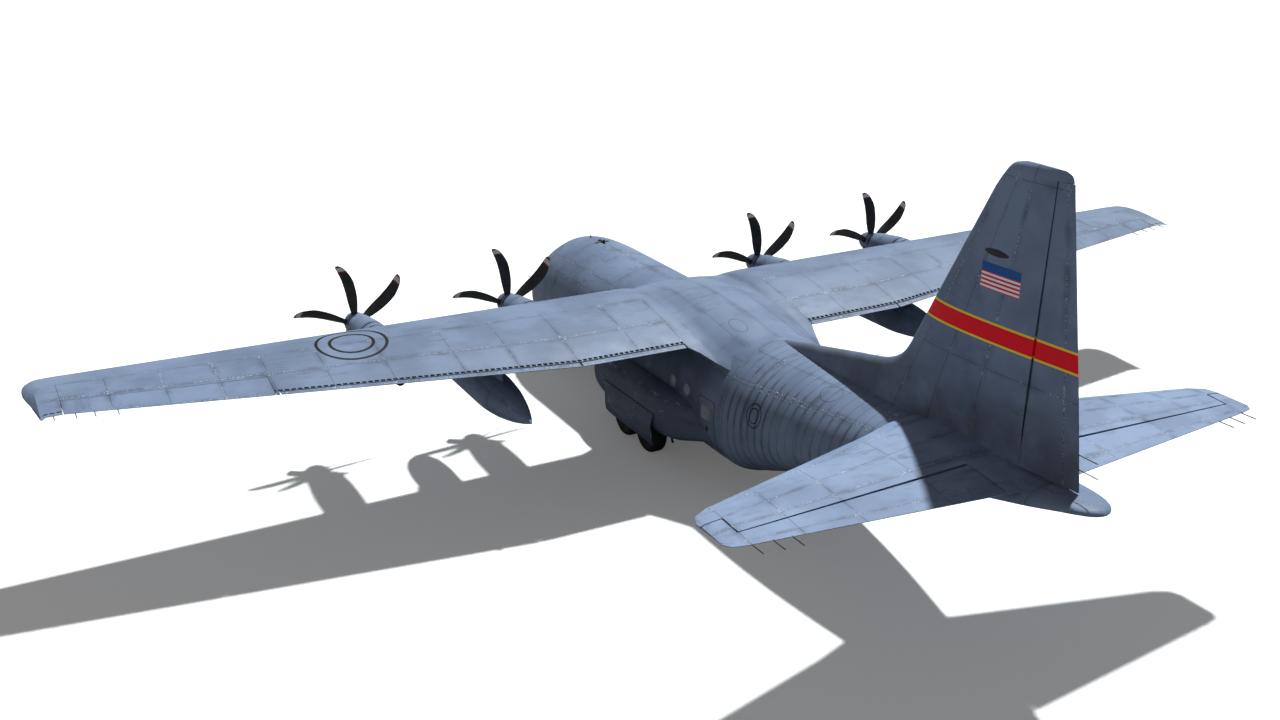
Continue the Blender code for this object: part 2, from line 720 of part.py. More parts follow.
def make_ailerons():
    start, end = AILERON_SPAN
    inner, outer = [wing_point(x, AILERON_HINGE, 0.5) for x in AILERON_SPAN]
    reaches = (start - AILERON_PIN_ENDS[0], AILERON_PIN_ENDS[1] - end)

    def aileron():
        surface = loft("aileron", [aileron_ring(start), aileron_ring(end)])
        return with_pins("aileron", surface, inner, outer, reaches)
    side_parts("aileron_{side}", aileron, "paint", inner)


def flat_foil_ring(leading, trailing, end, ratio, place, grow=0.0):
    """Symmetric section cut off at a station; place(station, offset) gives the point."""
    chord = trailing - leading
    cut = (end - leading) / chord
    shares = (1.0, 0.82, 0.62, 0.42, 0.25, 0.12, 0.04)
    ring = []
    for share in shares:
        fraction = share * cut
        ring.append((leading + fraction * chord, half_thickness(fraction, ratio) * chord + grow))
    upper = [place(s + (grow if s == ring[0][0] else 0.0), z) for s, z in ring]
    lower = [place(s + (grow if s == ring[0][0] else 0.0), -z) for s, z in reversed(ring)]
    return upper + [place(leading - grow, 0.0)] + lower


def tailplane_half(name, grow=0.0):
    rings = []
    for x, leading, trailing, end, ratio in TAILPLANE:
        def place(station, offset, x=x):
            return (x, y_of(station), TAILPLANE_Z + offset)
        rings.append(flat_foil_ring(leading, trailing, end, ratio, place, grow))
    return loft(name, rings, cap_start=False)


def space_ring(leading, trailing, end, ratio, nose, place):
    """Section of the space inside a tail surface, from nose aft of the leading edge to end."""
    chord = trailing - leading
    ring = []
    for k in range(6):
        station = leading + nose + (end - leading - nose) * k / 5
        half = half_thickness((station - leading) / chord, ratio) * chord - TAIL_WALL
        ring.append((station, half))
    upper = [place(station, half) for station, half in reversed(ring)]
    return upper + [place(station, -half) for station, half in ring]


def tailplane_space():
    rings = []
    for x, end, nose in TAILPLANE_SPACE:
        def place(station, offset, x=x):
            return (x, y_of(station), TAILPLANE_Z + offset)
        leading, trailing, _, ratio = interpolate(TAILPLANE, x)
        rings.append(space_ring(leading, trailing, end, ratio, nose, place))
    return loft("tailplane_space", rings, cap_start=False)


def make_tailplane():
    tailplane = add_part("tailplane", tailplane_half("tailplane"), "paint")
    mirror_x(tailplane)
    space = add_cutter("tailplane_space", tailplane_space())
    mirror_x(space)
    boolean(tailplane, space)
    mirror_x(add_cutter("tailplane_cutter", tailplane_half("tailplane_cutter", FIT_GAP)))


def tailplane_half_thickness(x, station):
    leading, trailing, _, ratio = interpolate(TAILPLANE, x)
    chord = trailing - leading
    return half_thickness((station - leading) / chord, ratio) * chord


def elevator_ring(x, nose, trailing):
    hinge = interpolate(ELEVATOR_HINGE, min(x, 7.50))[0]
    hinge = max(hinge, nose + 0.08)
    radius = tailplane_half_thickness(x, hinge)
    edge = 0.008
    points = [(trailing, edge), (hinge, radius), (nose + 0.3 * (hinge - nose), radius * 0.8),
              (nose, 0.0)]
    ring = [(x, y_of(s), TAILPLANE_Z + z) for s, z in points]
    ring += [(x, y_of(s), TAILPLANE_Z - z) for s, z in reversed(points[:-1])]
    return ring


def make_elevators():
    inner, outer = [(x, y_of(station), TAILPLANE_Z) for x, station in ELEVATOR_HINGE]

    def elevator():
        surface = loft("elevator", [elevator_ring(*row) for row in ELEVATOR])
        return with_pins("elevator", surface, inner, outer, (inner[0] - ELEVATOR_PIN_END,))
    side_parts("elevator_{side}", elevator, "paint", inner)


def make_fin():
    rings = []
    for z, leading, trailing, end, thickness in FIN:
        def place(station, offset, z=z):
            return (offset, y_of(station), z)
        chord = trailing - leading
        rings.append(flat_foil_ring(leading, trailing, end, thickness / chord, place))
    fin = add_part("fin", loft("fin", rings), "paint")
    seat = add_cutter("fin_seat", fuselage_solid("fin_seat", 5.60, LENGTH, -FIT_GAP))
    boolean(fin, seat)
    boolean(fin, bpy.data.objects["tailplane_cutter"])
    spaces = []
    for z, nose in FIN_SPACE:
        def place(station, offset, z=z):
            return (offset, y_of(station), z)
        leading, trailing, end, thickness = interpolate(FIN, z)
        ratio = thickness / (trailing - leading)
        spaces.append(space_ring(leading, trailing, end + 0.1, ratio, nose, place))
    boolean(fin, add_cutter("fin_space", loft("fin_space", spaces)))


def make_rudder():
    rings = []
    for z, nose, trailing, thickness in RUDDER:
        hinge = interpolate(RUDDER_HINGE, z)[0]
        half = thickness / 2
        points = [(trailing, 0.012), (hinge, half), (nose + 0.3 * (hinge - nose), half * 0.8),
                  (nose, 0.0)]
        ring = [(x, y_of(s), z) for s, x in points]
        ring += [(-x, y_of(s), z) for s, x in reversed(points[:-1])]
        rings.append(ring)
    foot, head = [(0.0, y_of(station), z) for z, station in RUDDER_HINGE]
    reaches = (foot[2] - RUDDER_PIN_ENDS[0], RUDDER_PIN_ENDS[1] - head[2])
    rudder = with_pins("rudder", loft("rudder", rings), foot, head, reaches)
    add_part("rudder", rudder, "paint", foot)


def blade_ring(row, phase):
    radius, sweep, chord, thickness, pitch = row
    angle = phase + math.radians(sweep)
    twist = math.radians(pitch)
    out = Vector((math.sin(angle), 0.0, math.cos(angle)))
    along = Vector((math.cos(angle), 0.0, -math.sin(angle)))
    chord_way = along * math.cos(twist) + Vector((0.0, -1.0, 0.0)) * math.sin(twist)
    flat_way = out.cross(chord_way)
    return [tuple(out * radius + chord_way * (c * chord) + flat_way * (t * thickness))
            for c, t in BLADE_RING]


def propeller_mesh():
    spinner = turned_mesh("spinner", SPINNER_PROFILE, "Y", (0.0, 0.0, 0.0), 18)
    blades = []
    for k in range(BLADES):
        phase = PROP_PHASE + 2 * math.pi * k / BLADES
        blades.append((loft("blade", [blade_ring(row, phase) for row in BLADE]), "UNION"))
    return merged("propeller", spinner, blades)


def make_propellers():
    mesh = propeller_mesh()
    for name, x, z, station in ENGINES:
        obj = add_part("propeller_" + name, mesh, "propeller_black")
        obj.location = (x, y_of(station), z)


def nacelle_mesh(name, x, hub_z, plane):
    rings = []
    for aft, half, top, bottom in NACELLE:
        middle = hub_z + (top + bottom) / 2
        rise = (top - bottom) / 2
        ring = []
        for k in range(16):
            angle = 2 * math.pi * (k + 0.5) / 16
            ring.append((x + half * math.cos(angle), y_of(plane + aft),
                         middle + rise * math.sin(angle)))
        rings.append(ring)
    return loft(name, rings)


def make_nacelles():
    for name, x, z, station in ENGINES:
        mesh = nacelle_mesh("nacelle_" + name, x, z, station)
        nacelle = add_part("nacelle_" + name, mesh, "paint")
        boolean(nacelle, bpy.data.objects["wing_cutter"])


def pylon_ring(z):
    plan = ((10.35, 0.02), (10.60, 0.10), (11.40, 0.15), (12.80, 0.13), (13.80, 0.04))
    ring = [(TANK_X + half, y_of(s), z) for s, half in plan]
    ring += [(TANK_X - half, y_of(s), z) for s, half in reversed(plan)]
    return ring


def make_tanks():
    def tank():
        profile = [(r, y_of(s)) for r, s in TANK_PROFILE]
        return turned_mesh("tank", profile, "Y", (TANK_X, 0.0, TANK_Z), 16)

    def grown_tank():
        profile = [(r + FIT_GAP if r else r, y_of(s)) for r, s in TANK_PROFILE]
        return turned_mesh("tank_cutter", profile, "Y", (TANK_X, 0.0, TANK_Z), 16)

    def pylon():
        return loft("pylon", [pylon_ring(TANK_Z + 0.2), pylon_ring(4.5)])
    side_parts("external_tank_{side}", tank, "paint")
    cutter = add_cutter("tank_cutter", grown_tank())
    mirror_x(cutter)
    for obj in side_parts("tank_pylon_{side}", pylon, "paint"):
        boolean(obj, cutter)
        boolean(obj, bpy.data.objects["wing_cutter"])


def make_fuselage():
    add_part("radome", fuselage_solid("radome", 0.0, NOSE_SPLIT - FIT_GAP), "radome_paint")
    nose = add_part("fuselage_nose", fuselage_shell("nose", NOSE_SPLIT, CABIN_SPLIT), "paint")
    centre_mesh = fuselage_shell("centre", CABIN_SPLIT + FIT_GAP, HOLD_END)
    centre = add_part("fuselage_centre", centre_mesh, "paint")
    aft_mesh = fuselage_shell("aft", HOLD_END + FIT_GAP, TAIL_SPLIT)
    aft = add_part("fuselage_aft", aft_mesh, "paint")
    tail = add_part("tail_cone", fuselage_solid("tail", TAIL_SPLIT + FIT_GAP, LENGTH), "paint")
    space = fuselage_solid("tail_space", TAIL_SPLIT - 0.3, TAIL_SPACE_END, SKIN)
    boolean(tail, add_cutter("tail_space", space))
    boolean(centre, bpy.data.objects["wing_cutter"])
    boolean(aft, bpy.data.objects["tailplane_cutter"])
    boolean(tail, bpy.data.objects["tailplane_cutter"])
    cut_nose(nose)
    cut_centre(centre)
    cut_aft(aft)


def box_cutter(name, boxes):
    """One cutter of separate boxes, each from its (x, station, z) corners."""
    bm = bmesh.new()
    for low, high in boxes:
        mesh = box_mesh(name, (low[0], y_of(low[1]), low[2]), (high[0], y_of(high[1]), high[2]))
        bm.from_mesh(mesh)
        bpy.data.meshes.remove(mesh)
    return add_cutter(name, finish_mesh(bm, name))


def both_sides(low, high):
    """A box to port and its mirror image."""
    return [(low, high), ((-high[0], low[1], low[2]), (-low[0], high[1], high[2]))]


def cut_nose(nose):
    start, end, low, high = CREW_DOOR
    boxes = [((1.0, start - RUN_GAP, low - FIT_GAP), (2.6, end + RUN_GAP, high + RUN_GAP))]
    left, right, start, end = NOSE_BAY
    boxes.append(((left, start, 0.3), (right, end, 1.35)))
    boxes.append(WINDSCREEN)
    for low, high in SIDE_WINDOWS:
        boxes += both_sides(low, high)
    boolean(nose, box_cutter("nose_openings", boxes))


def cut_centre(centre):
    start, end, low, high = PARA_DOOR
    boxes = both_sides((1.2, start - FIT_GAP, low - FIT_GAP), (2.6, end + FIT_GAP, high + FIT_GAP))
    half, (left, right), (low, high) = LEG_SLOT
    for _, axle in MAIN_AXLES:
        boxes += both_sides((left, axle - half, low), (right, axle + half, high))
    boolean(centre, box_cutter("side_openings", boxes))


def cut_aft(aft):
    def low(station, across):
        return (across, y_of(station), -0.5)

    def high(station, across):
        return (across, y_of(station), belly_z(station, 0.0) + 0.75)
    stations = [RAMP_START - FIT_GAP, RAMP_END, 21.5, DOOR_END - 0.4, DOOR_END + FIT_GAP]
    half = RAMP_HALF_WIDTH + RUN_GAP
    mesh = panel("ramp_cutter", stations, [-half, half], low, high)
    boolean(aft, add_cutter("ramp_cutter", mesh))


def door_half_width(station):
    """Half width of the upper cargo door, which narrows with the fuselage."""
    share = (station - DOOR_START) / (DOOR_END - DOOR_START)
    return RAMP_HALF_WIDTH - 0.02 - 0.62 * max(share, 0.0)


def belly_slab(name, stations, half_width, thickness, lean):
    """A curved slab that follows the fuselage's underside."""
    shares = (-1.0, -0.86, -0.6, 0.0, 0.6, 0.86, 1.0)
    last = stations[-1]

    def outer(station, share):
        x = share * half_width(station)
        return (x, y_of(station), belly_z(station, x))

    def inner(station, share):
        x = share * half_width(station)
        back = lean if station == last else 0.0
        return (x, y_of(station - back), belly_z(station - back, x) + thickness)
    return panel(name, stations, shares, outer, inner)


def make_cargo_doors():
    ramp_stations = [RAMP_START, 18.0, 19.2, RAMP_END]
    ramp = belly_slab("ramp", ramp_stations, lambda s: RAMP_HALF_WIDTH, RAMP_THICKNESS, 0.10)
    hinge_z = belly_z(RAMP_START, 0.0)
    add_part("cargo_ramp", ramp, "paint", (0.0, y_of(RAMP_START), hinge_z))
    door_stations = [DOOR_START, 21.5, 22.6, DOOR_END]
    door = belly_slab("door", door_stations, door_half_width, DOOR_THICKNESS, 0.0)
    top_z = belly_z(DOOR_END, 0.0) + DOOR_THICKNESS
    add_part("cargo_door", door, "paint", (0.0, y_of(DOOR_END), top_z))


def skin_panel(name, door, rows):
    """A piece of the fuselage's port side, between a door's stations and heights."""
    start, end, low, high = door
    heights = [low + (high - low) * k / (rows - 1) for k in range(rows)]

    def outer(station, z):
        return (skin_x(station, z), y_of(station), z)

    def inner(station, z):
        return (skin_x(station, z) - SKIN, y_of(station), z)
    return panel(name, [start, (start + end) / 2, end], heights, outer, inner)


def make_side_doors():
    start, end, low, _ = CREW_DOOR
    hinge = (skin_x(end, low), y_of((start + end) / 2), low)
    add_part("crew_door", skin_panel("crew_door", CREW_DOOR, 5), "paint", hinge)
    side_parts("paratroop_door_{side}", lambda: skin_panel("door", PARA_DOOR, 6), "paint")


def make_interior():
    space = add_cutter("cabin_space", fuselage_solid("space", 1.90, HOLD_END, SKIN + FIT_GAP))
    start, end, low, high = CREW_DOOR
    doorway = box_cutter("crew_doorway", [((1.16, start - RUN_GAP, low - 0.2),
                                           (2.6, end + RUN_GAP, high))])
    for name, start, end, top, thickness in FLOORS:
        mesh = box_mesh(name, (-2.5, y_of(start), top - thickness), (2.5, y_of(end), top))
        slab = add_part(name, mesh, "interior")
        boolean(slab, space, "INTERSECT")
        boolean(slab, doorway)
    panel_low, panel_high = (-0.85, y_of(2.42), FLIGHT_DECK_Z + FIT_GAP), (0.85, y_of(2.66), 3.12)
    add_part("instrument_panel", box_mesh("instrument_panel", panel_low, panel_high), "interior")
    outline = [(y_of(s), FLIGHT_DECK_Z + FIT_GAP + z) for s, z in SEAT_OUTLINE]
    side_parts("pilot_seat_{side}",
               lambda: outline_mesh("pilot_seat", outline, SEAT_HALF_WIDTH, SEAT_X), "seat")


def make_glass():
    """One curved band behind the flight-deck windows."""
    depth, thick = SKIN + FIT_GAP, 0.025
    stations = [1.97, 2.35, 2.80, 3.25, 3.80]
    upper_half = range(RING_POINTS // 2 + 1)

    def surface(inset):
        return lambda station, k: fuselage_ring(station, inset)[k]
    mesh = panel("glass", stations, upper_half, surface(depth), surface(depth + thick))
    add_part("flight_deck_glass", mesh, "glass")


def make_sponsons():
    cutter = add_cutter("fuselage_cutter", fuselage_solid("cutter", 5.60, TAIL_SPLIT, -FIT_GAP))

    def sponson():
        rings = []
        for station, outer, top, bottom in SPONSON:
            half = outer - SPONSON_ROOT_X
            rise = (top - bottom) / 2
            ring = []
            for k in range(16):
                angle = 2 * math.pi * k / 16
                ring.append((SPONSON_ROOT_X + half * signed_power(math.cos(angle), SPONSON_POWER),
                             y_of(station),
                             bottom + rise + rise * signed_power(math.sin(angle), SPONSON_POWER)))
            rings.append(ring)
        return loft("sponson", rings)
    start, end, top = WELL
    left, right = WELL_SIDES
    well = box_cutter("wheel_well", both_sides((left, start, 0.2), (right, end, top)))
    for obj in side_parts("gear_sponson_{side}", sponson, "paint"):
        boolean(obj, cutter)
        boolean(obj, well)


def make_gear_doors():
    def door():
        start, end = [y_of(station) for station in GEAR_DOOR_STATIONS]
        rings = []
        for x, z in GEAR_DOOR_PROFILE:
            inner = x - GEAR_DOOR_THICKNESS
            rings.append([(x, start, z), (x, end, z), (inner, end, z), (inner, start, z)])
        return loft("gear_door", rings)
    side_parts("main_gear_door_{side}", door, "paint")


def tyre_profile(radius, half_width, bore):
    """Closed profile of one wheel, from its bore round the tyre and back."""
    shoulder = 0.62 * half_width
    return (
        (bore, -0.55 * half_width), (0.42 * radius, -0.62 * half_width),
        (0.55 * radius, -0.95 * half_width), (0.84 * radius, -half_width),
        (0.97 * radius, -shoulder), (radius, -0.2 * half_width), (radius, 0.2 * half_width),
        (0.97 * radius, shoulder), (0.84 * radius, half_width),
        (0.55 * radius, 0.95 * half_width), (0.42 * radius, 0.62 * half_width),
        (bore, 0.55 * half_width),
    )


def make_main_gear():
    """Wheels on cranked legs. Each leg ends just under the wheel well's roof."""
    start, end, top = WELL
    above_roof = box_cutter("above_well_roof", [((-4.0, start - 1.0, top - FIT_GAP),
                                                 (4.0, end + 1.0, 3.0))])
    profile = tyre_profile(MAIN_TYRE_RADIUS, MAIN_TYRE_WIDTH / 2, AXLE_RADIUS + FIT_GAP)
    for where, axle in MAIN_AXLES:
        centre = (WHEEL_X, y_of(axle), MAIN_AXLE_Z)
        path = [(x, y_of(axle), z) for x, z in MAIN_LEG_PATH]

        def wheel(centre=centre):
            return turned_mesh("wheel", profile, "X", centre, WHEEL_SIDES)
        side_parts("main_wheel_" + where + "_{side}", wheel, "tyre", centre)

        def leg(path=path):
            return tube_mesh(path, AXLE_RADIUS)
        for obj in side_parts("main_leg_" + where + "_{side}", leg, "gear_metal"):
            boolean(obj, above_roof)


def make_nose_gear():
    """Strut, steered leg and twin wheels, under the flight deck's floor."""
    y = y_of(NOSE_AXLE)
    centre = (0.0, y, NOSE_AXLE_Z)
    strut_foot = (0.0, y, NOSE_LEG_TOP)
    strut_head = (0.0, y, FLIGHT_DECK_Z - FLOORS[1][4] - FIT_GAP)
    strut = rod_mesh("nose_strut", strut_foot, strut_head, 0.12)
    add_part("nose_strut", strut, "gear_metal", strut_foot)
    leg_head = (0.0, y, NOSE_LEG_TOP - FIT_GAP)
    leg = merged("nose_leg", rod_mesh("leg", (0.0, y, NOSE_AXLE_Z + 0.025), leg_head, 0.085), [
        (rod_mesh("eye", (-0.10, y, NOSE_AXLE_Z), (0.10, y, NOSE_AXLE_Z), 0.125), "UNION"),
        (rod_mesh("hole", (-0.2, y, NOSE_AXLE_Z), (0.2, y, NOSE_AXLE_Z),
                  AXLE_RADIUS + 2 * FIT_GAP), "DIFFERENCE")])
    add_part("nose_leg", leg, "gear_metal", centre)
    wheels = turned_mesh("nose_wheels", NOSE_WHEEL_PROFILE, "X", centre, WHEEL_SIDES)
    add_part("nose_wheels", wheels, "tyre", centre)
    _, right, start, end = NOSE_BAY
    thickness, low, high = NOSE_GEAR_DOOR

    def door():
        return box_mesh("nose_gear_door", (right - thickness, y_of(start + 0.04), low),
                        (right - FIT_GAP, y_of(end - 0.04), high))
    side_parts("nose_gear_door_{side}", door, "paint")


def main():
    clear_scene()
    make_collections()
    make_materials()
    make_scale_empty()
    make_wing()
    make_flaps()
    make_ailerons()
    make_tailplane()
    make_elevators()
    make_fuselage()
    make_cargo_doors()
    make_side_doors()
    make_interior()
    make_glass()
    make_sponsons()
    make_gear_doors()
    make_main_gear()
    make_nose_gear()
    make_nacelles()
    make_tanks()
    make_propellers()
    make_fin()
    make_rudder()


main()
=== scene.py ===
"""Looks of the half-size transport aircraft: fine skins, details, finishes, light and camera.

Shapes are drawn at full size in metres as (x, station, z): X to port, the station measured
aft from the nose tip, Z up from the ground. piece() brings them into the frame.
"""

import math

import bmesh
import bpy
import numpy as np
from mathutils import Matrix, Vector


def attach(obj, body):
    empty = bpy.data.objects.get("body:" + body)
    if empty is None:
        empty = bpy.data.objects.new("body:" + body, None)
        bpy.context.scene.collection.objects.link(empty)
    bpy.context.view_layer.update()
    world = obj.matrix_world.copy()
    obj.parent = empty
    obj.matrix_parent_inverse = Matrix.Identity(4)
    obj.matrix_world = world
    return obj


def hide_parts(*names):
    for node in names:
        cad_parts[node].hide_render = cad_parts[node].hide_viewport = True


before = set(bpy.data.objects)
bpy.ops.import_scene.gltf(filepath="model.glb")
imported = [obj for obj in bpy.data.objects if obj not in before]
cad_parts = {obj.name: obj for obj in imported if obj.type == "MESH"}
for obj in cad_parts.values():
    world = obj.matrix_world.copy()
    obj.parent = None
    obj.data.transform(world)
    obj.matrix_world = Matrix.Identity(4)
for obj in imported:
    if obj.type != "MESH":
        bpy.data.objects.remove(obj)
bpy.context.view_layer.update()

# Driving dimensions at full size, in metres. They repeat those of the CAD model.
SCALE = 0.5
LENGTH = 29.79
SKIN = 0.07
GAP = 0.0012
NOSE_SPLIT = 1.25
CABIN_SPLIT = 5.20
HOLD_END = 17.20
TAIL_SPLIT = 25.40
FLOOR_Z = 1.08
DECK_Z = 2.05
RUN_GAP = 0.022
SIDES = (("port", 1), ("starboard", -1))
TO_FRAME = Matrix.Scale(SCALE, 4) @ Matrix.Translation((0.0, -LENGTH / 2, 0.0))
MATERIAL_SLOTS = 3
PIN_RADIUS = 0.02
# The second panel coordinate of a wing or tail surface runs from 0 to this over its chord.
PANEL_CHORD = 4.0
# Keys between which a table of straight lines holds.
ALWAYS = (0.0, 99.0)

# Fuselage columns: station, half width, top, widest height, bottom, lower exponent.
FUSELAGE = (
    (0.00, 0.05, 2.24, 2.20, 2.16, 2.0), (0.06, 0.24, 2.43, 2.19, 1.95, 2.0),
    (0.25, 0.48, 2.66, 2.17, 1.69, 2.0), (0.65, 0.80, 2.94, 2.13, 1.36, 2.0),
    (1.25, 1.13, 3.20, 2.12, 1.09, 2.1), (1.90, 1.43, 3.42, 2.16, 0.93, 2.2),
    (2.35, 1.62, 3.60, 2.22, 0.86, 2.3), (2.80, 1.78, 4.08, 2.32, 0.81, 2.4),
    (3.25, 1.90, 4.42, 2.44, 0.77, 2.5), (3.80, 2.01, 4.65, 2.53, 0.74, 2.6),
    (4.60, 2.11, 4.75, 2.60, 0.72, 2.7), (5.60, 2.16, 4.78, 2.62, 0.72, 2.7),
    (17.20, 2.16, 4.78, 2.62, 0.72, 2.7), (18.00, 2.15, 4.78, 2.70, 0.97, 2.5),
    (19.20, 2.10, 4.78, 2.88, 1.43, 2.35), (20.60, 1.98, 4.78, 3.10, 1.97, 2.3),
    (22.20, 1.77, 4.78, 3.36, 2.52, 2.25), (23.90, 1.47, 4.78, 3.65, 3.07, 2.15),
    (25.40, 1.20, 4.78, 3.90, 3.54, 2.05), (26.80, 1.01, 4.80, 4.18, 3.94, 2.0),
    (28.20, 0.84, 4.82, 4.48, 4.27, 2.0), (29.00, 0.64, 4.82, 4.64, 4.46, 2.0),
    (29.50, 0.42, 4.81, 4.70, 4.56, 2.0), (29.74, 0.18, 4.76, 4.70, 4.64, 2.0),
    (29.79, 0.05, 4.72, 4.70, 4.68, 2.0),
)
# Wing columns: X, leading edge station and height, trailing edge station and height,
# thickness ratio.
WING = (
    (0.00, 10.00, 4.40, 16.95, 4.72, 0.135), (0.90, 10.05, 4.40, 17.05, 4.52, 0.130),
    (1.40, 10.20, 4.42, 17.10, 4.15, 0.130), (1.66, 10.38, 4.47, 16.95, 3.99, 0.140),
    (1.85, 10.47, 4.53, 16.42, 4.10, 0.155), (2.05, 10.55, 4.57, 15.86, 4.26, 0.168),
    (2.24, 10.57, 4.585, 15.47, 4.33, 0.180), (5.70, 10.57, 4.61, 15.45, 4.352, 0.180),
    (14.08, 10.70, 4.80, 14.20, 4.645, 0.150), (19.38, 10.78, 4.905, 13.40, 4.835, 0.125),
    (19.80, 10.81, 4.910, 13.45, 4.845, 0.118), (19.93, 10.88, 4.912, 13.62, 4.840, 0.105),
    (20.08, 11.04, 4.912, 12.50, 4.870, 0.120), (20.16, 11.20, 4.908, 12.10, 4.880, 0.110),
    (20.205, 11.48, 4.905, 11.80, 4.885, 0.060),
)
WING_STRAIGHT = (2.24, 19.38)
# Kinds of trailing edge along the span: last X of each, then its kind.
WING_KINDS = ((2.245, "full"), (14.07, "flap"), (14.17, "full"), (19.385, "aileron"), (99, "full"))
# Aft end of each kind: upper edge, lower edge, two inner points as (fraction, share).
TRAILING_KINDS = {
    "full": (1.0, 0.72, (0.88, 0.0), (1.0, 0.0)),
    "flap": (0.958, 0.72, (0.738, 0.72), (0.93, 0.62)),
    "aileron": (0.750, 0.732, (0.710, 0.22), (0.710, 0.80)),
}
CAMBER = 0.02
CAMBER_PEAK = 0.4
FLAP_SPANS = (("inner", 2.29, 5.68), ("outer", 5.74, 14.03))
AILERON_SPAN = (14.185, 19.37)
AILERON_HINGE = 0.757
# Tailplane columns: X, leading edge, trailing edge, end of the fixed part, thickness ratio.
TAIL_Z = 4.645
TAILPLANE = (
    (0.00, 23.35, 28.10, 28.10, 0.115), (1.06, 23.50, 27.92, 27.92, 0.120),
    (1.07, 23.50, 27.92, 26.44, 0.120), (2.11, 23.87, 27.78, 26.46, 0.120),
    (7.46, 25.33, 27.20, 26.61, 0.110), (7.47, 25.33, 27.20, 26.04, 0.110),
    (7.88, 25.55, 27.12, 26.04, 0.090), (8.03, 25.86, 26.90, 26.04, 0.050),
)
# Elevator columns: X, station of the nose, trailing edge.
ELEVATOR = (
    (1.10, 26.47, 27.91), (7.50, 26.64, 27.195), (7.52, 26.055, 27.19), (7.86, 26.055, 27.12),
    (8.01, 26.065, 26.93),
)
ELEVATOR_HINGE = ((1.10, 26.60), (7.50, 26.72))
ELEVATOR_ENDS = (1.10, 7.50)
ELEVATOR_HORN = (7.52, 7.62, 7.72, 7.80, 7.86, 7.92, 7.97, 8.01)
# Part of the tailplane's half span that is cut short for the elevator.
ELEVATOR_SPAN = (1.065, 7.465)
# Fin columns: Z, leading edge, trailing edge, end of the fixed part, thickness.
FIN = (
    (4.40, 15.80, 28.95, 28.60, 0.56), (4.72, 17.00, 28.95, 28.60, 0.56),
    (4.86, 17.62, 28.95, 28.60, 0.56), (4.87, 17.66, 28.95, 27.08, 0.56),
    (5.20, 19.20, 28.90, 27.10, 0.56), (5.52, 20.70, 28.85, 27.11, 0.57),
    (5.78, 21.92, 28.81, 27.12, 0.57), (5.98, 22.40, 28.78, 27.13, 0.57),
    (6.22, 22.72, 28.74, 27.14, 0.58), (6.80, 23.10, 28.65, 27.16, 0.58),
    (11.10, 25.46, 27.90, 27.32, 0.33),
    (11.60, 25.82, 27.80, 27.33, 0.29), (11.61, 25.83, 27.80, 27.80, 0.29),
    (11.76, 26.02, 27.74, 27.74, 0.22), (11.84, 26.35, 27.55, 27.55, 0.08),
)
# Rudder columns: Z, station of the nose, trailing edge, thickness at the hinge.
RUDDER = ((4.90, 27.11, 28.95, 0.34), (6.80, 27.19, 28.65, 0.27), (11.56, 27.36, 27.82, 0.13))
RUDDER_HINGE = ((4.90, 27.30), (11.56, 27.44))
RUDDER_ENDS = (4.86, 11.60)
# Part of the fin's height that is cut short for the rudder.
RUDDER_SPAN = (4.865, 11.605)
# Above its foot the fin's edges are straight: station there, and slope.
FIN_FOOT = 6.80
FIN_EDGES = ((23.10, 0.549), (28.65, -0.174))
FIN_CAP = 11.61
# How far the skins reach over the nose of the elevator, and of the rudder at its two ends.
ELEVATOR_LIP = 0.05
RUDDER_LIPS = (0.07, 0.05)
# Engine columns: name, X, hub height, station of the propeller plane.
ENGINES = (
    ("1", 10.16, 4.12, 8.07), ("2", 4.95, 4.00, 8.16), ("3", -4.95, 4.00, 8.16),
    ("4", -10.16, 4.12, 8.07),
)
BLADES = 6
PROP_PHASE = 0.168
# Nacelle columns: distance aft of the propeller plane, half width, top, bottom from the hub.
NACELLE = (
    (0.26, 0.36, 0.37, -0.52), (0.34, 0.44, 0.43, -0.66), (0.90, 0.52, 0.52, -0.84),
    (1.70, 0.57, 0.60, -0.90), (2.60, 0.58, 0.60, -0.88), (3.60, 0.54, 0.56, -0.74),
    (4.60, 0.43, 0.56, -0.40), (5.40, 0.28, 0.56, -0.06), (5.85, 0.15, 0.52, 0.10),
)
NACELLE_ENDS = (0.26, 5.58)
# Chin intake columns: distance aft of the propeller plane, half width, top, bottom.
CHIN_INTAKE = ((0.10, 0.23, -0.405, -0.57), (0.5, 0.23, -0.42, -0.60), (1.1, 0.16, -0.45, -0.58))
# Cooler scoop columns: distance aft, half width, half height, depth below the hub.
COOLER_SCOOP = (
    (1.55, 0.15, 0.07, 0.885), (1.62, 0.165, 0.082, 0.885), (2.2, 0.17, 0.075, 0.88),
    (2.9, 0.12, 0.04, 0.83),
)
EXHAUST_DEPTH = 0.46
EXHAUST_TILT = -0.05
# Blade columns: radius, sweep angle in degrees, chord, thickness, pitch in degrees.
BLADE = (
    (0.30, 0.0, 0.18, 0.120, 50), (0.55, -2.6, 0.29, 0.070, 45), (0.95, -3.6, 0.36, 0.045, 38),
    (1.40, -2.4, 0.37, 0.032, 32), (1.75, 0.6, 0.31, 0.024, 28), (1.96, 3.0, 0.23, 0.018, 26),
    (2.055, 4.6, 0.10, 0.012, 25),
)
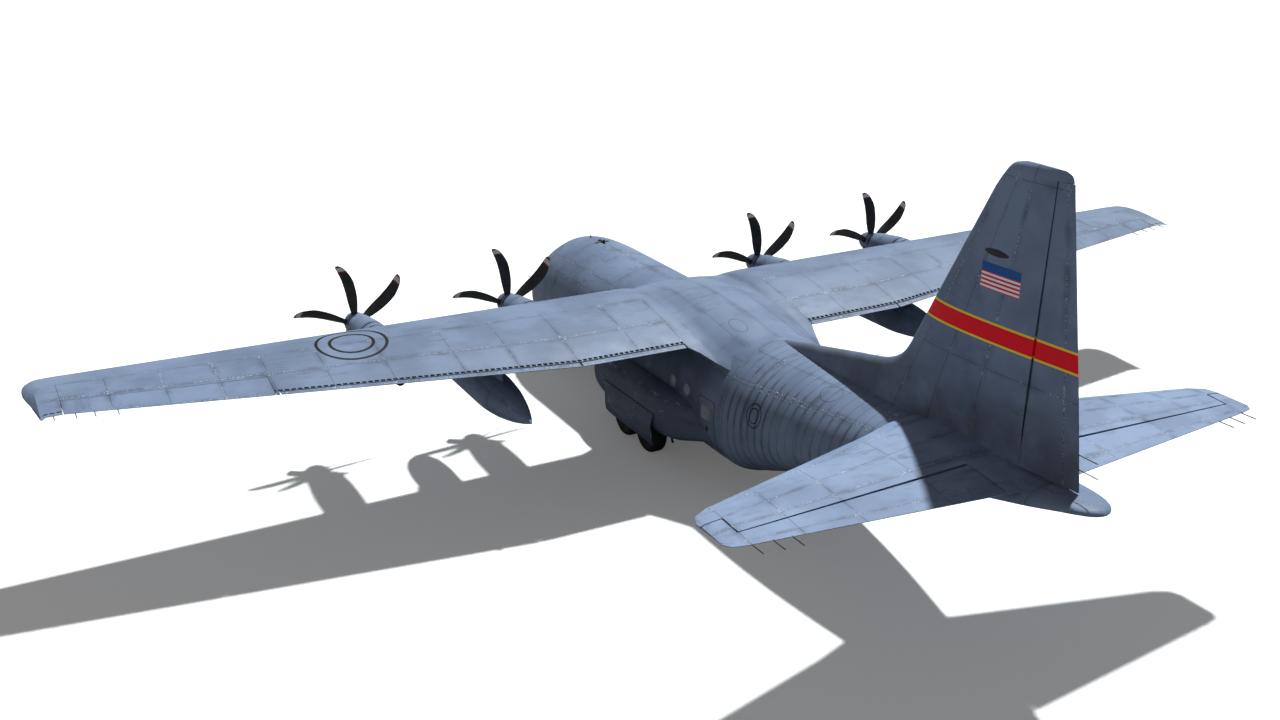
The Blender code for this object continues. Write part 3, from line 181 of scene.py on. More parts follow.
# Sponson columns: station, outer half width, top, bottom.
SPONSON = (
    (8.95, 1.98, 2.35, 1.45), (9.35, 2.38, 2.56, 1.16), (10.00, 2.64, 2.66, 1.02),
    (10.90, 2.76, 2.70, 0.97), (14.20, 2.76, 2.70, 0.97), (14.95, 2.64, 2.64, 1.06),
    (15.55, 2.42, 2.54, 1.24), (16.10, 2.24, 2.20, 1.42), (16.60, 2.06, 1.86, 1.58),
)
SPONSON_ENDS = (8.95, 16.60)
SPONSON_ROOT_X = 1.55
SPONSON_POWER = 0.62
WELL = ((1.50, 10.62, 0.2), (2.68, 13.95, 1.62))
GEAR_DOOR_STATIONS = (10.90, 14.28)
GEAR_DOOR_PROFILE = ((2.7962, 1.835), (2.87, 1.62), (2.91, 1.36), (2.90, 1.10), (2.82, 0.81))
GEAR_DOOR_THICKNESS = 0.035
TANK_X, TANK_Z = 7.535, 3.10
# Tank columns: station, radius.
TANK = (
    (8.72, 0.0), (8.80, 0.20), (9.08, 0.40), (9.60, 0.54), (10.40, 0.60), (13.00, 0.60),
    (13.80, 0.54), (14.70, 0.38), (15.45, 0.17), (15.90, 0.0),
)
# Wheels: the ground touches the true circle, so the radius is the axle's height.
AXLE_FLAT = math.cos(math.pi / 24)
WHEEL_X = 2.17
MAIN_AXLES = (("front", 11.50), ("rear", 13.04))
MAIN_RADIUS = 0.71 * AXLE_FLAT
MAIN_WIDTH = 0.50
NOSE_AXLE = 2.50
NOSE_RADIUS = 0.495 * AXLE_FLAT
NOSE_WHEEL_X = 0.25
AXLE_TUBE = 0.055
RAMP = (17.32, 20.46, 0.20)
DOOR = (20.58, 23.90, 0.16)
# Room at the hinge lines, so that the ramp and the door turn clear of the skin.
RAMP_ROOM = 0.015
DOOR_ROOM = 0.08
# How far the inner face stops short of the aft end.
RAMP_LEAN = 0.10
DOOR_LEAN = 0.12
# Share of the door's thickness that is left along its sides.
DOOR_EDGE = 0.25
# Half widths, the door's at its front and aft ends, and the gap beside the door.
RAMP_HALF_WIDTH = 1.48
DOOR_HALF_WIDTHS = (1.41, 0.84)
DOOR_GAP = 0.03
CREW_DOOR = (3.95, 4.71, 1.04, 2.20)
PARA_DOOR = (15.97, 16.88, 1.18, 3.00)
# Flight-deck windows: low and high corners. The side ones are mirrored.
WINDSCREEN = ((-0.50, 2.05, 3.66), (0.50, 2.99, 4.153))
SIDE_WINDOWS = (
    ((0.57, 2.05, 3.64), (1.28, 3.08, 4.11)), ((1.447, 2.73, 3.31), (2.10, 3.12, 3.96)),
    ((1.447, 3.20, 3.32), (2.20, 3.74, 3.98)), ((1.15, 2.05, 2.72), (2.00, 2.50, 3.12)),
)
GLASS_THICKNESS = 0.025
# Round side windows: station and height of each, then (radius, distance) of rim and pane.
PORTS = ((14.41, 2.91), (15.25, 2.90), (7.0, 2.91), (6.1, 2.91))
PORT_RIM = ((0.150, -0.02), (0.150, 0.012), (0.158, 0.018), (0.185, 0.018), (0.192, 0.010),
            (0.192, -0.02))
PORT_PANE = ((0.0, 0.006), (0.06, 0.0055), (0.12, 0.0035), (0.151, 0.002), (0.151, -0.02),
             (0.0, -0.02))
NOSE_BAY = ((-0.70, 1.84, 0.3), (0.70, 3.16, 1.35))
RIB_DEPTH = 0.055
WICK = 0.014


class Table:
    """Rows of numbers read at a key, along curves that never overshoot their rows."""

    def __init__(self, rows, straight=(0.0, 0.0), warp=lambda key: key):
        rows = np.array(rows, dtype=float)
        self.warp = warp
        self.straight = straight
        self.keys, self.values = warp(rows[:, 0]), rows[:, 1:]
        steps = np.diff(self.keys)[:, None]
        rises = np.diff(self.values, axis=0) / steps
        before, after = rises[:-1], rises[1:]
        weight_a, weight_b = 2 * steps[1:] + steps[:-1], steps[1:] + 2 * steps[:-1]
        turns = before * after > 0
        safe_a, safe_b = np.where(turns, before, 1.0), np.where(turns, after, 1.0)
        middle = (weight_a + weight_b) / (weight_a / safe_a + weight_b / safe_b)
        self.slopes = np.vstack([rises[:1], np.where(turns, middle, 0.0), rises[-1:]])

    def __call__(self, key):
        plain = np.asarray(key, dtype=float)
        warped = np.clip(self.warp(plain), self.keys[0], self.keys[-1])
        i = np.clip(np.searchsorted(self.keys, warped, side="right") - 1, 0, len(self.keys) - 2)
        step = (self.keys[i + 1] - self.keys[i])[..., None]
        t = (warped - self.keys[i])[..., None] / step
        low, high = self.values[i], self.values[i + 1]
        curve = ((2 * t ** 3 - 3 * t ** 2 + 1) * low + (3 * t ** 2 - 2 * t ** 3) * high
                 + (t ** 3 - 2 * t ** 2 + t) * step * self.slopes[i]
                 + (t ** 3 - t ** 2) * step * self.slopes[i + 1])
        on_line = ((plain >= self.straight[0]) & (plain <= self.straight[1]))[..., None]
        return np.where(on_line, low + (high - low) * t, curve)


fuselage = Table(FUSELAGE, warp=np.sqrt)
wing = Table(WING, straight=WING_STRAIGHT)
tailplane = Table(TAILPLANE, straight=(0.0, 7.46))
elevator = Table(ELEVATOR, straight=ALWAYS)
elevator_hinge = Table(ELEVATOR_HINGE, straight=ALWAYS)
fin = Table(FIN, straight=(FIN_FOOT, 11.10))
rudder = Table(RUDDER, straight=ALWAYS)
rudder_hinge = Table(RUDDER_HINGE, straight=ALWAYS)
nacelle = Table(NACELLE)
blade = Table(BLADE)
sponson = Table(SPONSON)
tank = Table(TANK)


def stops(table, start, end, step):
    """Keys from start to end: the table's own rows and even steps between them."""
    rows = [row[0] for row in table if start + 0.01 < row[0] < end - 0.01]
    marks = sorted({start, end, *rows})
    keys = []
    for low, high in zip(marks, marks[1:]):
        parts = max(1, round((high - low) / step))
        keys += [low + (high - low) * k / parts for k in range(parts)]
    return keys + [end]


def signed_power(value, power):
    return np.sign(value) * np.abs(value) ** power


# Shares of the way to a rounded tip, closer and closer together.
ROUNDING = [math.sin(math.pi / 2 * k / 8) for k in range(1, 9)]


def stack(x, station, z):
    """Rows of (x, station, z); a single number goes into every row."""
    return np.column_stack(np.broadcast_arrays(x, station, z))


def around(count):
    """Even angles once round."""
    return np.linspace(0, 2 * math.pi, count + 1)[:-1]


def oval(x, station, z, width, height, count):
    """Ring at one station, by its centre and half sizes."""
    angle = around(count)
    return stack(x + width * np.cos(angle), station, z + height * np.sin(angle))


def blank_mesh():
    """Empty mesh with spare material slots."""
    mesh = bpy.data.meshes.new("drawing")
    for _ in range(MATERIAL_SLOTS):
        mesh.materials.append(None)
    return mesh


def filled(mesh, bm, index=None):
    """The mesh with a bmesh's faces, all in one finish if its index is given."""
    if index is not None:
        for face in bm.faces:
            face.material_index = index
    bm.to_mesh(mesh)
    bm.free()
    return mesh


def new_mesh(verts, faces, index):
    """Mesh with outward normals, and the finish of each face."""
    mesh = blank_mesh()
    mesh.from_pydata([tuple(v) for v in verts], [], faces)
    mesh.polygons.foreach_set("material_index", index)
    bm = bmesh.new()
    bm.from_mesh(mesh)
    bmesh.ops.recalc_face_normals(bm, faces=bm.faces)
    return filled(mesh, bm)


def loft(rings, index=0):
    """Skin closed rings of equal length, with flat caps."""
    count = len(rings[0])
    faces = []
    for base in range(0, count * (len(rings) - 1), count):
        for k in range(count):
            nxt = (k + 1) % count
            faces.append((base + k, base + nxt, base + count + nxt, base + count + k))
    total = count * len(rings)
    faces += [tuple(range(count)), tuple(range(total - count, total))]
    return new_mesh(np.concatenate(rings), faces, [index] * len(faces))


def plate(outer, inner, wrap=False):
    """Closed plate between two grids of points. The inner face takes the second finish."""
    rows, columns = outer.shape[:2]
    offset = rows * columns
    faces, index = [], []

    def add(face, finish=0):
        faces.append(face)
        index.append(finish)
    for i in range(rows - 1):
        for j in range(columns if wrap else columns - 1):
            a, b = i * columns + j, i * columns + (j + 1) % columns
            add((a, b, b + columns, a + columns))
            add((a + offset, b + offset, b + columns + offset, a + columns + offset), 1)
    for i in (0, rows - 1):
        for j in range(columns if wrap else columns - 1):
            a, b = i * columns + j, i * columns + (j + 1) % columns
            add((a, b, b + offset, a + offset))
    if not wrap:
        for j in (0, columns - 1):
            for i in range(rows - 1):
                a = i * columns + j
                add((a, a + columns, a + columns + offset, a + offset))
    return new_mesh(np.concatenate([outer.reshape(-1, 3), inner.reshape(-1, 3)]), faces, index)


def join(*meshes):
    bm = bmesh.new()
    for mesh in meshes:
        bm.from_mesh(mesh)
    return filled(blank_mesh(), bm)


def moved(mesh, matrix):
    copy = mesh.copy()
    copy.transform(matrix)
    if matrix.determinant() < 0:
        copy.flip_normals()
    return copy


def mirrored(mesh):
    return moved(mesh, Matrix.Diagonal((-1, 1, 1, 1)))


def both(mesh):
    return join(mesh, mirrored(mesh))


def evaluated(obj):
    """The object's mesh with its modifiers applied; the object goes."""
    bpy.context.scene.collection.objects.link(obj)
    graph = bpy.context.evaluated_depsgraph_get()
    mesh = bpy.data.meshes.new_from_object(obj.evaluated_get(graph))
    bpy.data.objects.remove(obj, do_unlink=True)
    return mesh


def carve(mesh, *steps):
    """Apply Booleans, each a pair of operation and mesh."""
    base = bpy.data.objects.new("base", mesh)
    others = []
    for operation, other in steps:
        tool = bpy.data.objects.new("tool", other)
        bpy.context.scene.collection.objects.link(tool)
        others.append(tool)
        modifier = base.modifiers.new(operation.lower(), "BOOLEAN")
        modifier.operation = operation
        modifier.object = tool
    result = evaluated(base)
    for tool in others:
        bpy.data.objects.remove(tool, do_unlink=True)
    return result


def cut(mesh, *tools):
    return carve(mesh, *(("DIFFERENCE", tool) for tool in tools))


def box(low, high, bevel=0.0, along=None, index=0, segments=4):
    """Box with bevelled edges: all of them, or only those that run along one axis."""
    bm = bmesh.new()
    size = Vector(high) - Vector(low)
    middle = (Vector(high) + Vector(low)) / 2
    placing = Matrix.Translation(middle) @ Matrix.Diagonal((*size, 1))
    bmesh.ops.create_cube(bm, size=1.0, matrix=placing)
    if bevel:
        edges = bm.edges
        if along is not None:
            edges = [e for e in edges if abs((e.verts[0].co - e.verts[1].co)[along]) > 1e-4]
        bmesh.ops.bevel(bm, geom=list(edges), offset=bevel, segments=segments, affect="EDGES",
                        profile=0.5)
    return filled(blank_mesh(), bm, index)


def turned(profile, axis="Y", centre=(0.0, 0.0, 0.0), sides=48, index=0):
    """Turn (radius, distance) pairs about axis X, Y or Z through centre.

    A profile that starts off the axis is closed on itself.
    """
    bm = bmesh.new()
    verts = [bm.verts.new((radius, 0.0, along)) for radius, along in profile]
    if profile[0][0] > 0.0:
        verts.append(verts[0])
    edges = [bm.edges.new(ends) for ends in zip(verts, verts[1:])]
    bmesh.ops.spin(bm, geom=list(set(verts)) + edges, cent=(0, 0, 0), axis=(0, 0, 1),
                   angle=2 * math.pi, steps=sides, use_merge=True)
    bmesh.ops.remove_doubles(bm, verts=bm.verts, dist=0.00002)
    bmesh.ops.recalc_face_normals(bm, faces=bm.faces)
    mesh = filled(blank_mesh(), bm, index)
    turn = {"X": Matrix.Rotation(math.pi / 2, 4, "Y"), "Y": Matrix.Rotation(-math.pi / 2, 4, "X"),
            "Z": Matrix.Identity(4)}[axis]
    mesh.transform(Matrix.Translation(centre) @ turn)
    return mesh


def tubes(runs, resolution=3):
    """Round tubes with filled ends, each run a radius and its points."""
    curve = bpy.data.curves.new("tubes", "CURVE")
    curve.dimensions = "3D"
    curve.bevel_depth = 1.0
    curve.bevel_resolution = resolution
    curve.use_fill_caps = True
    for radius, spots in runs:
        spline = curve.splines.new("POLY")
        spline.points.add(len(spots) - 1)
        for point, spot in zip(spline.points, spots):
            point.co = (*spot, 1.0)
            point.radius = radius
    bm = bmesh.new()
    bm.from_mesh(evaluated(bpy.data.objects.new("tubes", curve)))
    bmesh.ops.remove_doubles(bm, verts=bm.verts, dist=0.00001)
    bmesh.ops.recalc_face_normals(bm, faces=bm.faces)
    return filled(blank_mesh(), bm)


def piece(name, mesh, body, materials, replaces=(), panel=None, sharp=32.0):
    """Bring a full-size drawing into the frame as a piece that rides on a body."""
    if panel:
        spots = np.empty(len(mesh.vertices) * 3)
        mesh.vertices.foreach_get("co", spots)
        values = np.column_stack(np.broadcast_arrays(*panel(*spots.reshape(-1, 3).T), 0.0))
        attribute = mesh.attributes.new("panel", "FLOAT_VECTOR", "POINT")
        attribute.data.foreach_set("vector", values.ravel())
    mesh.transform(TO_FRAME)
    mesh.name = name
    for k in range(max(len(materials), len(mesh.materials))):
        material = materials[min(k, len(materials) - 1)]
        if k < len(mesh.materials):
            mesh.materials[k] = material
        else:
            mesh.materials.append(material)
    mesh.shade_smooth()
    mesh.set_sharp_from_angle(angle=math.radians(sharp))
    obj = bpy.data.objects.new(name, mesh)
    bpy.context.scene.collection.objects.link(obj)
    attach(obj, body)
    if replaces:
        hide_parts(*replaces)
    return obj


def pair(name, mesh, body, materials, replaces=(), panel=None):
    """Piece on the port side and its mirror image; {} in the names stands for the side."""
    for side, shape in (("port", mesh.copy()), ("starboard", mirrored(mesh))):
        piece(name.format(side), shape, body.format(side), materials,
              [node.format(side) for node in replaces], panel)


class Nodes:
    """A material's node tree, written as short formulas."""

    def __init__(self, name, **shader):
        self.material = bpy.data.materials.new(name)
        self.material.use_nodes = True
        self.tree = self.material.node_tree
        self.shader = self.tree.nodes["Principled BSDF"]
        for key, value in shader.items():
            self.shader.inputs[key.replace("_", " ")].default_value = value
        coordinates = self.add("ShaderNodeTexCoord").outputs["Object"]
        spread = self.add("ShaderNodeVectorMath", operation="MULTIPLY_ADD")
        self.plug(coordinates, spread.inputs[0])
        spread.inputs[1].default_value = (1 / SCALE,) * 3
        spread.inputs[2].default_value = (0.0, LENGTH / 2, 0.0)
        self.spot = spread.outputs[0]
        split = self.add("ShaderNodeSeparateXYZ")
        self.plug(self.spot, split.inputs[0])
        self.x, self.station, self.z = split.outputs

    def add(self, kind, **values):
        node = self.tree.nodes.new(kind)
        for key, value in values.items():
            setattr(node, key, value)
        return node

    def plug(self, value, socket):
        if isinstance(value, bpy.types.NodeSocket):
            self.tree.links.new(value, socket)
        elif socket.type == "RGBA":
            socket.default_value = (*value, 1.0)
        else:
            socket.default_value = value

    def math(self, operation, *values):
        node = self.add("ShaderNodeMath", operation=operation)
        for value, socket in zip(values, node.inputs):
            self.plug(value, socket)
        return node.outputs[0]

    def step(self, value, low, high, top=1.0):
        """Smooth change from 0 at low to top at high."""
        node = self.add("ShaderNodeMapRange", interpolation_type="SMOOTHSTEP")
        for number, socket in zip((value, low, high, 0.0, top), node.inputs):
            self.plug(number, socket)
        return node.outputs[0]

    def noise(self, scale, detail=3.0, stretch=(1.0, 1.0, 1.0), rough=0.55):
        node = self.add("ShaderNodeTexNoise")
        vector = self.add("ShaderNodeVectorMath", operation="MULTIPLY")
        self.plug(self.spot, vector.inputs[0])
        vector.inputs[1].default_value = stretch
        self.plug(vector.outputs[0], node.inputs["Vector"])
        node.inputs["Scale"].default_value = scale
        node.inputs["Detail"].default_value = detail
        node.inputs["Roughness"].default_value = rough
        return node.outputs["Fac"]

    def mix(self, factor, a, b):
        node = self.add("ShaderNodeMix", data_type="RGBA")
        for value, socket in zip((factor, a, b), (node.inputs[0], node.inputs[6], node.inputs[7])):
            self.plug(value, socket)
        return node.outputs[2]

    def panel(self):
        split = self.add("ShaderNodeSeparateXYZ")
        attribute = self.add("ShaderNodeAttribute", attribute_name="panel")
        self.plug(attribute.outputs["Vector"], split.inputs[0])
        return split.outputs[0], split.outputs[1]

    def axis(self, name):
        """Coordinate called x, s or z; off is the distance from the middle plane."""
        if name == "off":
            return self.math("ABSOLUTE", self.x)
        return {"x": self.x, "s": self.station, "z": self.z}[name]

    def offset(self, name, middle):
        return self.math("SUBTRACT", self.axis(name), middle)

    def times(self, first, *others):
        """Product of two or more values."""
        for value in others:
            first = self.math("MULTIPLY", first, value)
        return first

    def length(self, a, b):
        """Distance over two offsets at right angles."""
        return self.math("SQRT", self.math("ADD", self.times(a, a), self.times(b, b)))

    def nearest(self, value, places):
        """Distance to the nearest of some places on one coordinate."""
        best = FAR
        for place in places:
            gap = self.math("ABSOLUTE", self.math("SUBTRACT", value, place))
            best = self.math("MINIMUM", gap, best)
        return best

    def cut_off(self, near, value, limit, soft):
        """Distance to seams that end where a value falls below a limit, if there is one."""
        if limit is None:
            return near
        return self.math("ADD", near, self.step(value, limit + soft, limit - soft, FAR))

    def between(self, value, low, high, soft=0.004):
        return self.times(self.step(value, low - soft, low + soft),
                          self.math("SUBTRACT", 1.0, self.step(value, high - soft, high + soft)))

    def mottled(self, scale, low, high, dark, light):
        """Large patches of two close colours."""
        return self.mix(self.step(self.noise(scale, 4.0), low, high), dark, light)

    def uneven(self, noise, base, spread):
        """Roughness that rises from base with a noise."""
        return self.math("ADD", self.step(noise, 0.2, 0.9, spread), base)

    def finish(self, colour, roughness=None, height=None, distance=0.002):
        self.plug(colour, self.shader.inputs["Base Color"])
        if roughness is not None:
            self.plug(roughness, self.shader.inputs["Roughness"])
        if height is not None:
            bump = self.add("ShaderNodeBump")
            bump.inputs["Strength"].default_value = 1.0
            bump.inputs["Distance"].default_value = distance
            self.plug(height, bump.inputs["Height"])
            self.plug(bump.outputs[0], self.shader.inputs["Normal"])
        return self.material


PAINT_LIGHT = (0.205, 0.262, 0.388)
PAINT_DARK = (0.158, 0.203, 0.308)
SMEAR = (0.100, 0.122, 0.175)
SEAM = (0.060, 0.070, 0.098)
CHIP = (0.56, 0.62, 0.70)
BLACK = (0.012, 0.013, 0.016)
SEAM_WIDTH = 0.016
AIRFLOW = (2.0, 0.40, 1.2)
# Further from a seam than any mark reaches.
FAR = 9.0


def painted(name, across=(), along=(), chipped=(), frames=None, marks=(), dashes=None, tone=1.0,
            streak=AIRFLOW, inboard=None, ahead=None):
    """Blue-grey paint with seams at places on two panel coordinates.

    chipped are seams along the second coordinate whose paint has flaked, frames is
    (pitch, start, end) of the sooty frame lines, dashes is one seam broken into dashes,
    tone lightens the paint and streak stretches its smears. Seams along the second
    coordinate end at inboard, and those across it end at ahead.
    """
    n = Nodes(name, Metallic=0.0, Specular_IOR_Level=0.12)
    u, v = n.panel()
    light, dark = (tuple(tone * c for c in colour) for colour in (PAINT_LIGHT, PAINT_DARK))
    colour = n.mottled(0.55, 0.36, 0.64, dark, light)
    smears = n.times(n.step(n.noise(3.0, 4.0, streak, 0.62), 0.50, 0.78, 0.62),
                     n.step(n.noise(0.35, 3.0), 0.40, 0.62))
    colour = n.mix(smears, colour, SMEAR)
    near_across = n.cut_off(n.nearest(u, across), v, ahead, 0.05)
    near_along = n.cut_off(n.nearest(v, (*along, *chipped)), u, inboard, 0.01)
    near = n.math("MINIMUM", near_across, near_along)
    grime = n.times(n.step(near, 0.20, 0.0, 0.50), n.step(n.noise(1.3, 4.0), 0.42, 0.72))
    colour = n.mix(grime, colour, SEAM)
    if frames:
        colour = frame_soot(n, u, v, colour, *frames)
    line = n.step(near, SEAM_WIDTH, SEAM_WIDTH / 3)
    colour = n.mix(n.times(line, 0.55), colour, SEAM)
    dots = n.step(n.noise(26.0, 2.0), 0.53, 0.60)
    patches = n.noise(1.5, 3.0)
    corner = n.times(n.step(near_across, 0.22, 0.05), n.step(near_along, 0.22, 0.05),
                     n.step(patches, 0.40, 0.50))
    spread = n.math("MAXIMUM", n.step(patches, 0.58, 0.64), corner)
    worn = n.times(n.step(near, 0.034, 0.014), spread)
    if chipped:
        near_chip = n.cut_off(n.nearest(v, chipped), u, inboard, 0.01)
        edge = n.times(n.step(near_chip, 0.024, 0.012), n.step(patches, 0.38, 0.50))
        worn = n.math("MAXIMUM", worn, edge)
    colour = n.mix(n.times(worn, dots, 0.8), colour, CHIP)
    roughness = n.uneven(n.noise(2.0, 3.0), 0.38, 0.20)
    if dashes:
        gaps = n.math("PINGPONG", u, 0.085)
        ink = n.times(n.step(n.nearest(v, (dashes,)), 0.040, 0.034), n.step(gaps, 0.020, 0.028),
                      n.step(u, 2.24, 2.27))
        colour = n.mix(ink, colour, BLACK)
        roughness = n.math("MAXIMUM", roughness, ink)
    for mark in marks:
        colour = mark(n, u, v, colour)
    height = n.math("ADD", n.times(line, -1.0), n.times(n.noise(0.9, 2.0), 2.5))
    return n.finish(colour, roughness, height, 0.0015)


def frame_soot(n, u, v, colour, pitch, start, end):
    """Soot behind each frame, in broken streaks that fade upwards and below."""
    rung = n.math("PINGPONG", n.math("SUBTRACT", u, start), pitch / 2)
    broken = n.step(n.noise(1.1, 4.0, (1.0, 0.5, 0.7)), 0.42, 0.62)
    soot = n.times(n.step(rung, 0.10, 0.0, 0.70), broken, n.between(u, start, end, 0.3),
                   n.between(v, 0.9, 5.6, 0.6))
    colour = n.mix(soot, colour, SEAM)
    thin = n.times(n.step(rung, 0.016, 0.006, 0.5), n.between(u, start, end, 0.1))
    return n.mix(thin, colour, SEAM)


def ring_mark(first, second, centre, radius, keep=None):
    """Plain double ring, round a centre on two of the drawing's axes."""
    def mark(n, u, v, colour):
        distance = n.length(n.offset(first, centre[0]), n.offset(second, centre[1]))
        ink = n.step(n.nearest(distance, (radius, 0.62 * radius)), 0.055 * radius, 0.04 * radius)
        if keep:
            ink = n.times(ink, n.step(n.axis(keep[0]), keep[1] - 0.01, keep[1] + 0.01))
        return n.mix(ink, colour, BLACK)
    return mark


def ellipse_seam(axis, centre, radii):
    """Thin seam round a hatch, by its centre and radii on an axis and the station."""
    def mark(n, u, v, colour):
        a = n.math("DIVIDE", n.offset(axis, centre[0]), radii[0])
        b = n.math("DIVIDE", n.offset("s", centre[1]), radii[1])
        near = n.nearest(n.length(a, b), (1.0,))
        return n.mix(n.step(near, 0.06, 0.03, 0.62), colour, SEAM)
    return mark


def arc_seam(n, u, v, colour):
    """Dark seam that curves down and aft below the side doors."""
    near = n.nearest(n.length(n.offset("s", 17.0), n.offset("z", 2.60)), (1.09,))
    ink = n.times(n.step(near, 0.03, 0.015), n.between(n.z, 0.5, 2.15, 0.05),
                  n.step(n.station, 17.2, 17.0))
    return n.mix(ink, colour, BLACK)


def spine_seams(n, u, v, colour):
    """Seams that run aft over the middle of the wing."""
    near = n.nearest(n.axis("off"), (0.02, 1.0, 1.75))
    line = n.times(n.step(near, 0.022, 0.008, 0.34), n.step(n.station, 11.6, 12.2))
    haze = n.times(n.step(near, 0.20, 0.0, 0.42), n.step(n.noise(1.3, 4.0), 0.42, 0.66))
    return n.mix(n.math("MAXIMUM", line, haze), colour, SEAM)


def fin_foot_grime_and_shade(n, u, v, colour):
    """Painted shade and grime that thicken towards the foot of the fin."""
    cover = n.times(n.step(n.z, 7.4, 5.4, 0.62), n.step(n.noise(0.9, 4.0), 0.15, 0.65))
    return n.mix(cover, colour, (0.060, 0.064, 0.076))


def under_wing_shade(n, u, v, colour):
    """Painted shade along both sides below the wing, in broken patches."""
    patch = n.times(n.step(n.station, 17.8, 15.4), n.step(n.station, 7.6, 10.0),
                    n.step(n.z, 4.4, 3.7, 0.80), n.step(n.noise(0.8, 4.0), 0.1, 0.6))
    return n.mix(patch, colour, (0.055, 0.070, 0.105))


def fin_band(n, u, v, colour):
    """Red band with yellow edges."""
    colour = n.mix(n.between(n.z, 7.49, 8.01), colour, (1.0, 0.74, 0.05))
    return n.mix(n.between(n.z, 7.545, 7.955), colour, (1.0, 0.012, 0.028))


def fin_panel(n, u, v, colour):
    """Generic panel: a blue field over red and white stripes."""
    area = n.times(n.between(n.station, 25.48, 26.70), n.between(n.z, 8.76, 9.38))
    stripe = n.step(n.math("PINGPONG", n.math("SUBTRACT", n.z, 8.76), 0.050), 0.021, 0.027)
    inside = n.mix(stripe, (0.80, 0.015, 0.06), (0.94, 0.94, 0.97))
    inside = n.mix(n.between(n.z, 9.16, 9.5), inside, (0.03, 0.11, 0.36))
    return n.mix(area, colour, inside)


def plain(name, light, dark, roughness, scale=3.0, bump=0.4, metallic=0.0, distance=0.001):
    """Mottled finish for plain paint, metal, primer and lining."""
    n = Nodes(name, Metallic=metallic)
    fine = n.noise(scale * 14, 3.0)
    return n.finish(n.mottled(scale, 0.35, 0.68, dark, light), n.uneven(fine, roughness, 0.22),
                    n.times(fine, bump), distance)


def propeller_finish():
    """Black blades: towards the tip a thin red band, a white band and a dark red end."""
    n = Nodes("propeller_finish", Specular_IOR_Level=0.45)
    radius, _ = n.panel()
    colour = n.mottled(3.0, 0.35, 0.7, (0.010, 0.010, 0.012), (0.026, 0.026, 0.029))
    scuff = n.times(n.step(n.noise(18.0, 3.0), 0.62, 0.72), 0.5)
    colour = n.mix(scuff, colour, (0.07, 0.07, 0.075))
    for low, high, band in ((1.80, 1.845, (0.30, 0.010, 0.015)), (1.845, 1.99, (0.60, 0.60, 0.60)),
                            (1.99, FAR, (0.20, 0.008, 0.012))):
        colour = n.mix(n.between(radius, low, high, 0.003), colour, band)
    return n.finish(colour, n.uneven(n.noise(5.0), 0.30, 0.25), n.noise(60.0, 2.0), 0.0003)


def tyre_finish():
    """Black rubber with dust on the sidewalls and fine scuffs."""
    n = Nodes("tyre_finish", Specular_IOR_Level=0.3)
    colour = n.mottled(2.5, 0.4, 0.7, (0.010, 0.010, 0.011), (0.030, 0.029, 0.028))
    colour = n.mix(n.step(n.noise(22.0, 4.0), 0.60, 0.78, 0.6), colour, (0.055, 0.052, 0.049))
    return n.finish(colour, n.uneven(n.noise(9.0), 0.62, 0.2), n.noise(45.0, 3.0), 0.0006)


def fabric_finish():
    """Woven seat cloth with a fine weave along all three axes."""
    n = Nodes("seat_cloth", Roughness=0.9, Specular_IOR_Level=0.2, Sheen_Weight=0.25)
    weave = 0.0
    for axis in (n.x, n.station, n.z):
        weave = n.math("ADD", weave, n.math("SINE", n.times(axis, 900.0)))
    colour = n.mottled(4.0, 0.35, 0.7, (0.045, 0.060, 0.050), (0.080, 0.100, 0.085))
    colour = n.mix(n.step(weave, -1.5, 1.5, 0.35), colour, (0.030, 0.040, 0.034))
    return n.finish(colour, None, weave, 0.0004)


def glass_finish(name, tint):
    n = Nodes(name, IOR=1.45, Transmission_Weight=0.9, Specular_IOR_Level=0.6)
    smear = n.step(n.noise(3.0, 3.0), 0.3, 0.9, 0.10)
    return n.finish(n.mix(n.step(n.noise(1.2), 0.3, 0.7), tint, tuple(1.2 * c for c in tint)),
                    n.math("ADD", smear, 0.04))


def glow_finish(name, colour, strength):
    n = Nodes(name, Roughness=0.1, Emission_Strength=strength, Coat_Weight=0.5)
    n.shader.inputs["Emission Color"].default_value = (*colour, 1.0)
    return n.finish(n.mix(n.step(n.noise(40.0), 0.3, 0.7), colour, tuple(0.8 * c for c in colour)))


HULL_SEAMS = (1.9, 3.86, 5.2, 7.1, 8.85, 11.3, 13.9, 15.3, 17.2)
AFT_SEAMS = (18.4, 20.8, 23.2, 25.4, 26.8, 28.2)
WING_SPANS = (2.26, 3.75, 5.72, 7.45, 9.0, 10.95, 12.6, 14.12, 15.4, 16.8, 18.2, 19.38)
# The hull's paint carries painted shade on its sides below the wing.
paint_hull = painted("hull_paint", HULL_SEAMS, (0.04, 1.45, 3.2, 5.0), (2.02,),
                     marks=(ellipse_seam("off", (0.0, 6.1), (0.35, 0.35)), under_wing_shade, arc_seam))
paint_aft = painted("aft_hull_paint", AFT_SEAMS, (0.9, 5.4), (1.90, 2.03), frames=(0.34, 17.3, 25.2),
                    marks=(ring_mark("s", "z", (18.84, 3.34), 0.33),
                           ellipse_seam("off", (0.95, 20.95), (0.27, 0.36))))
paint_wing = painted("wing_paint", WING_SPANS, (0.16, 0.44, 1.60, 2.86), (0.28, 2.80), dashes=3.785,
                     marks=(ring_mark("x", "s", (11.5, 12.2), 1.0, ("z", 4.75)), spine_seams,
                            ellipse_seam("x", (0.61, 15.66), (0.22, 0.42))),
                     streak=(0.40, 2.2, 1.0), inboard=2.2, ahead=1.5, tone=0.95)
paint_flap = painted("flap_paint", WING_SPANS, (), (3.93,))
# The tailplane's paint is a quarter lighter than the rest: painted light, for the brighter sun on the
# tailplane and elevators.
paint_tail_lit = painted("tailplane_lit_paint", (2.5, 4.7, 6.2, 7.47), (1.45, 2.42), (0.50, 2.34, 3.6),
                     tone=1.25, streak=(0.5, 1.8, 1.0))
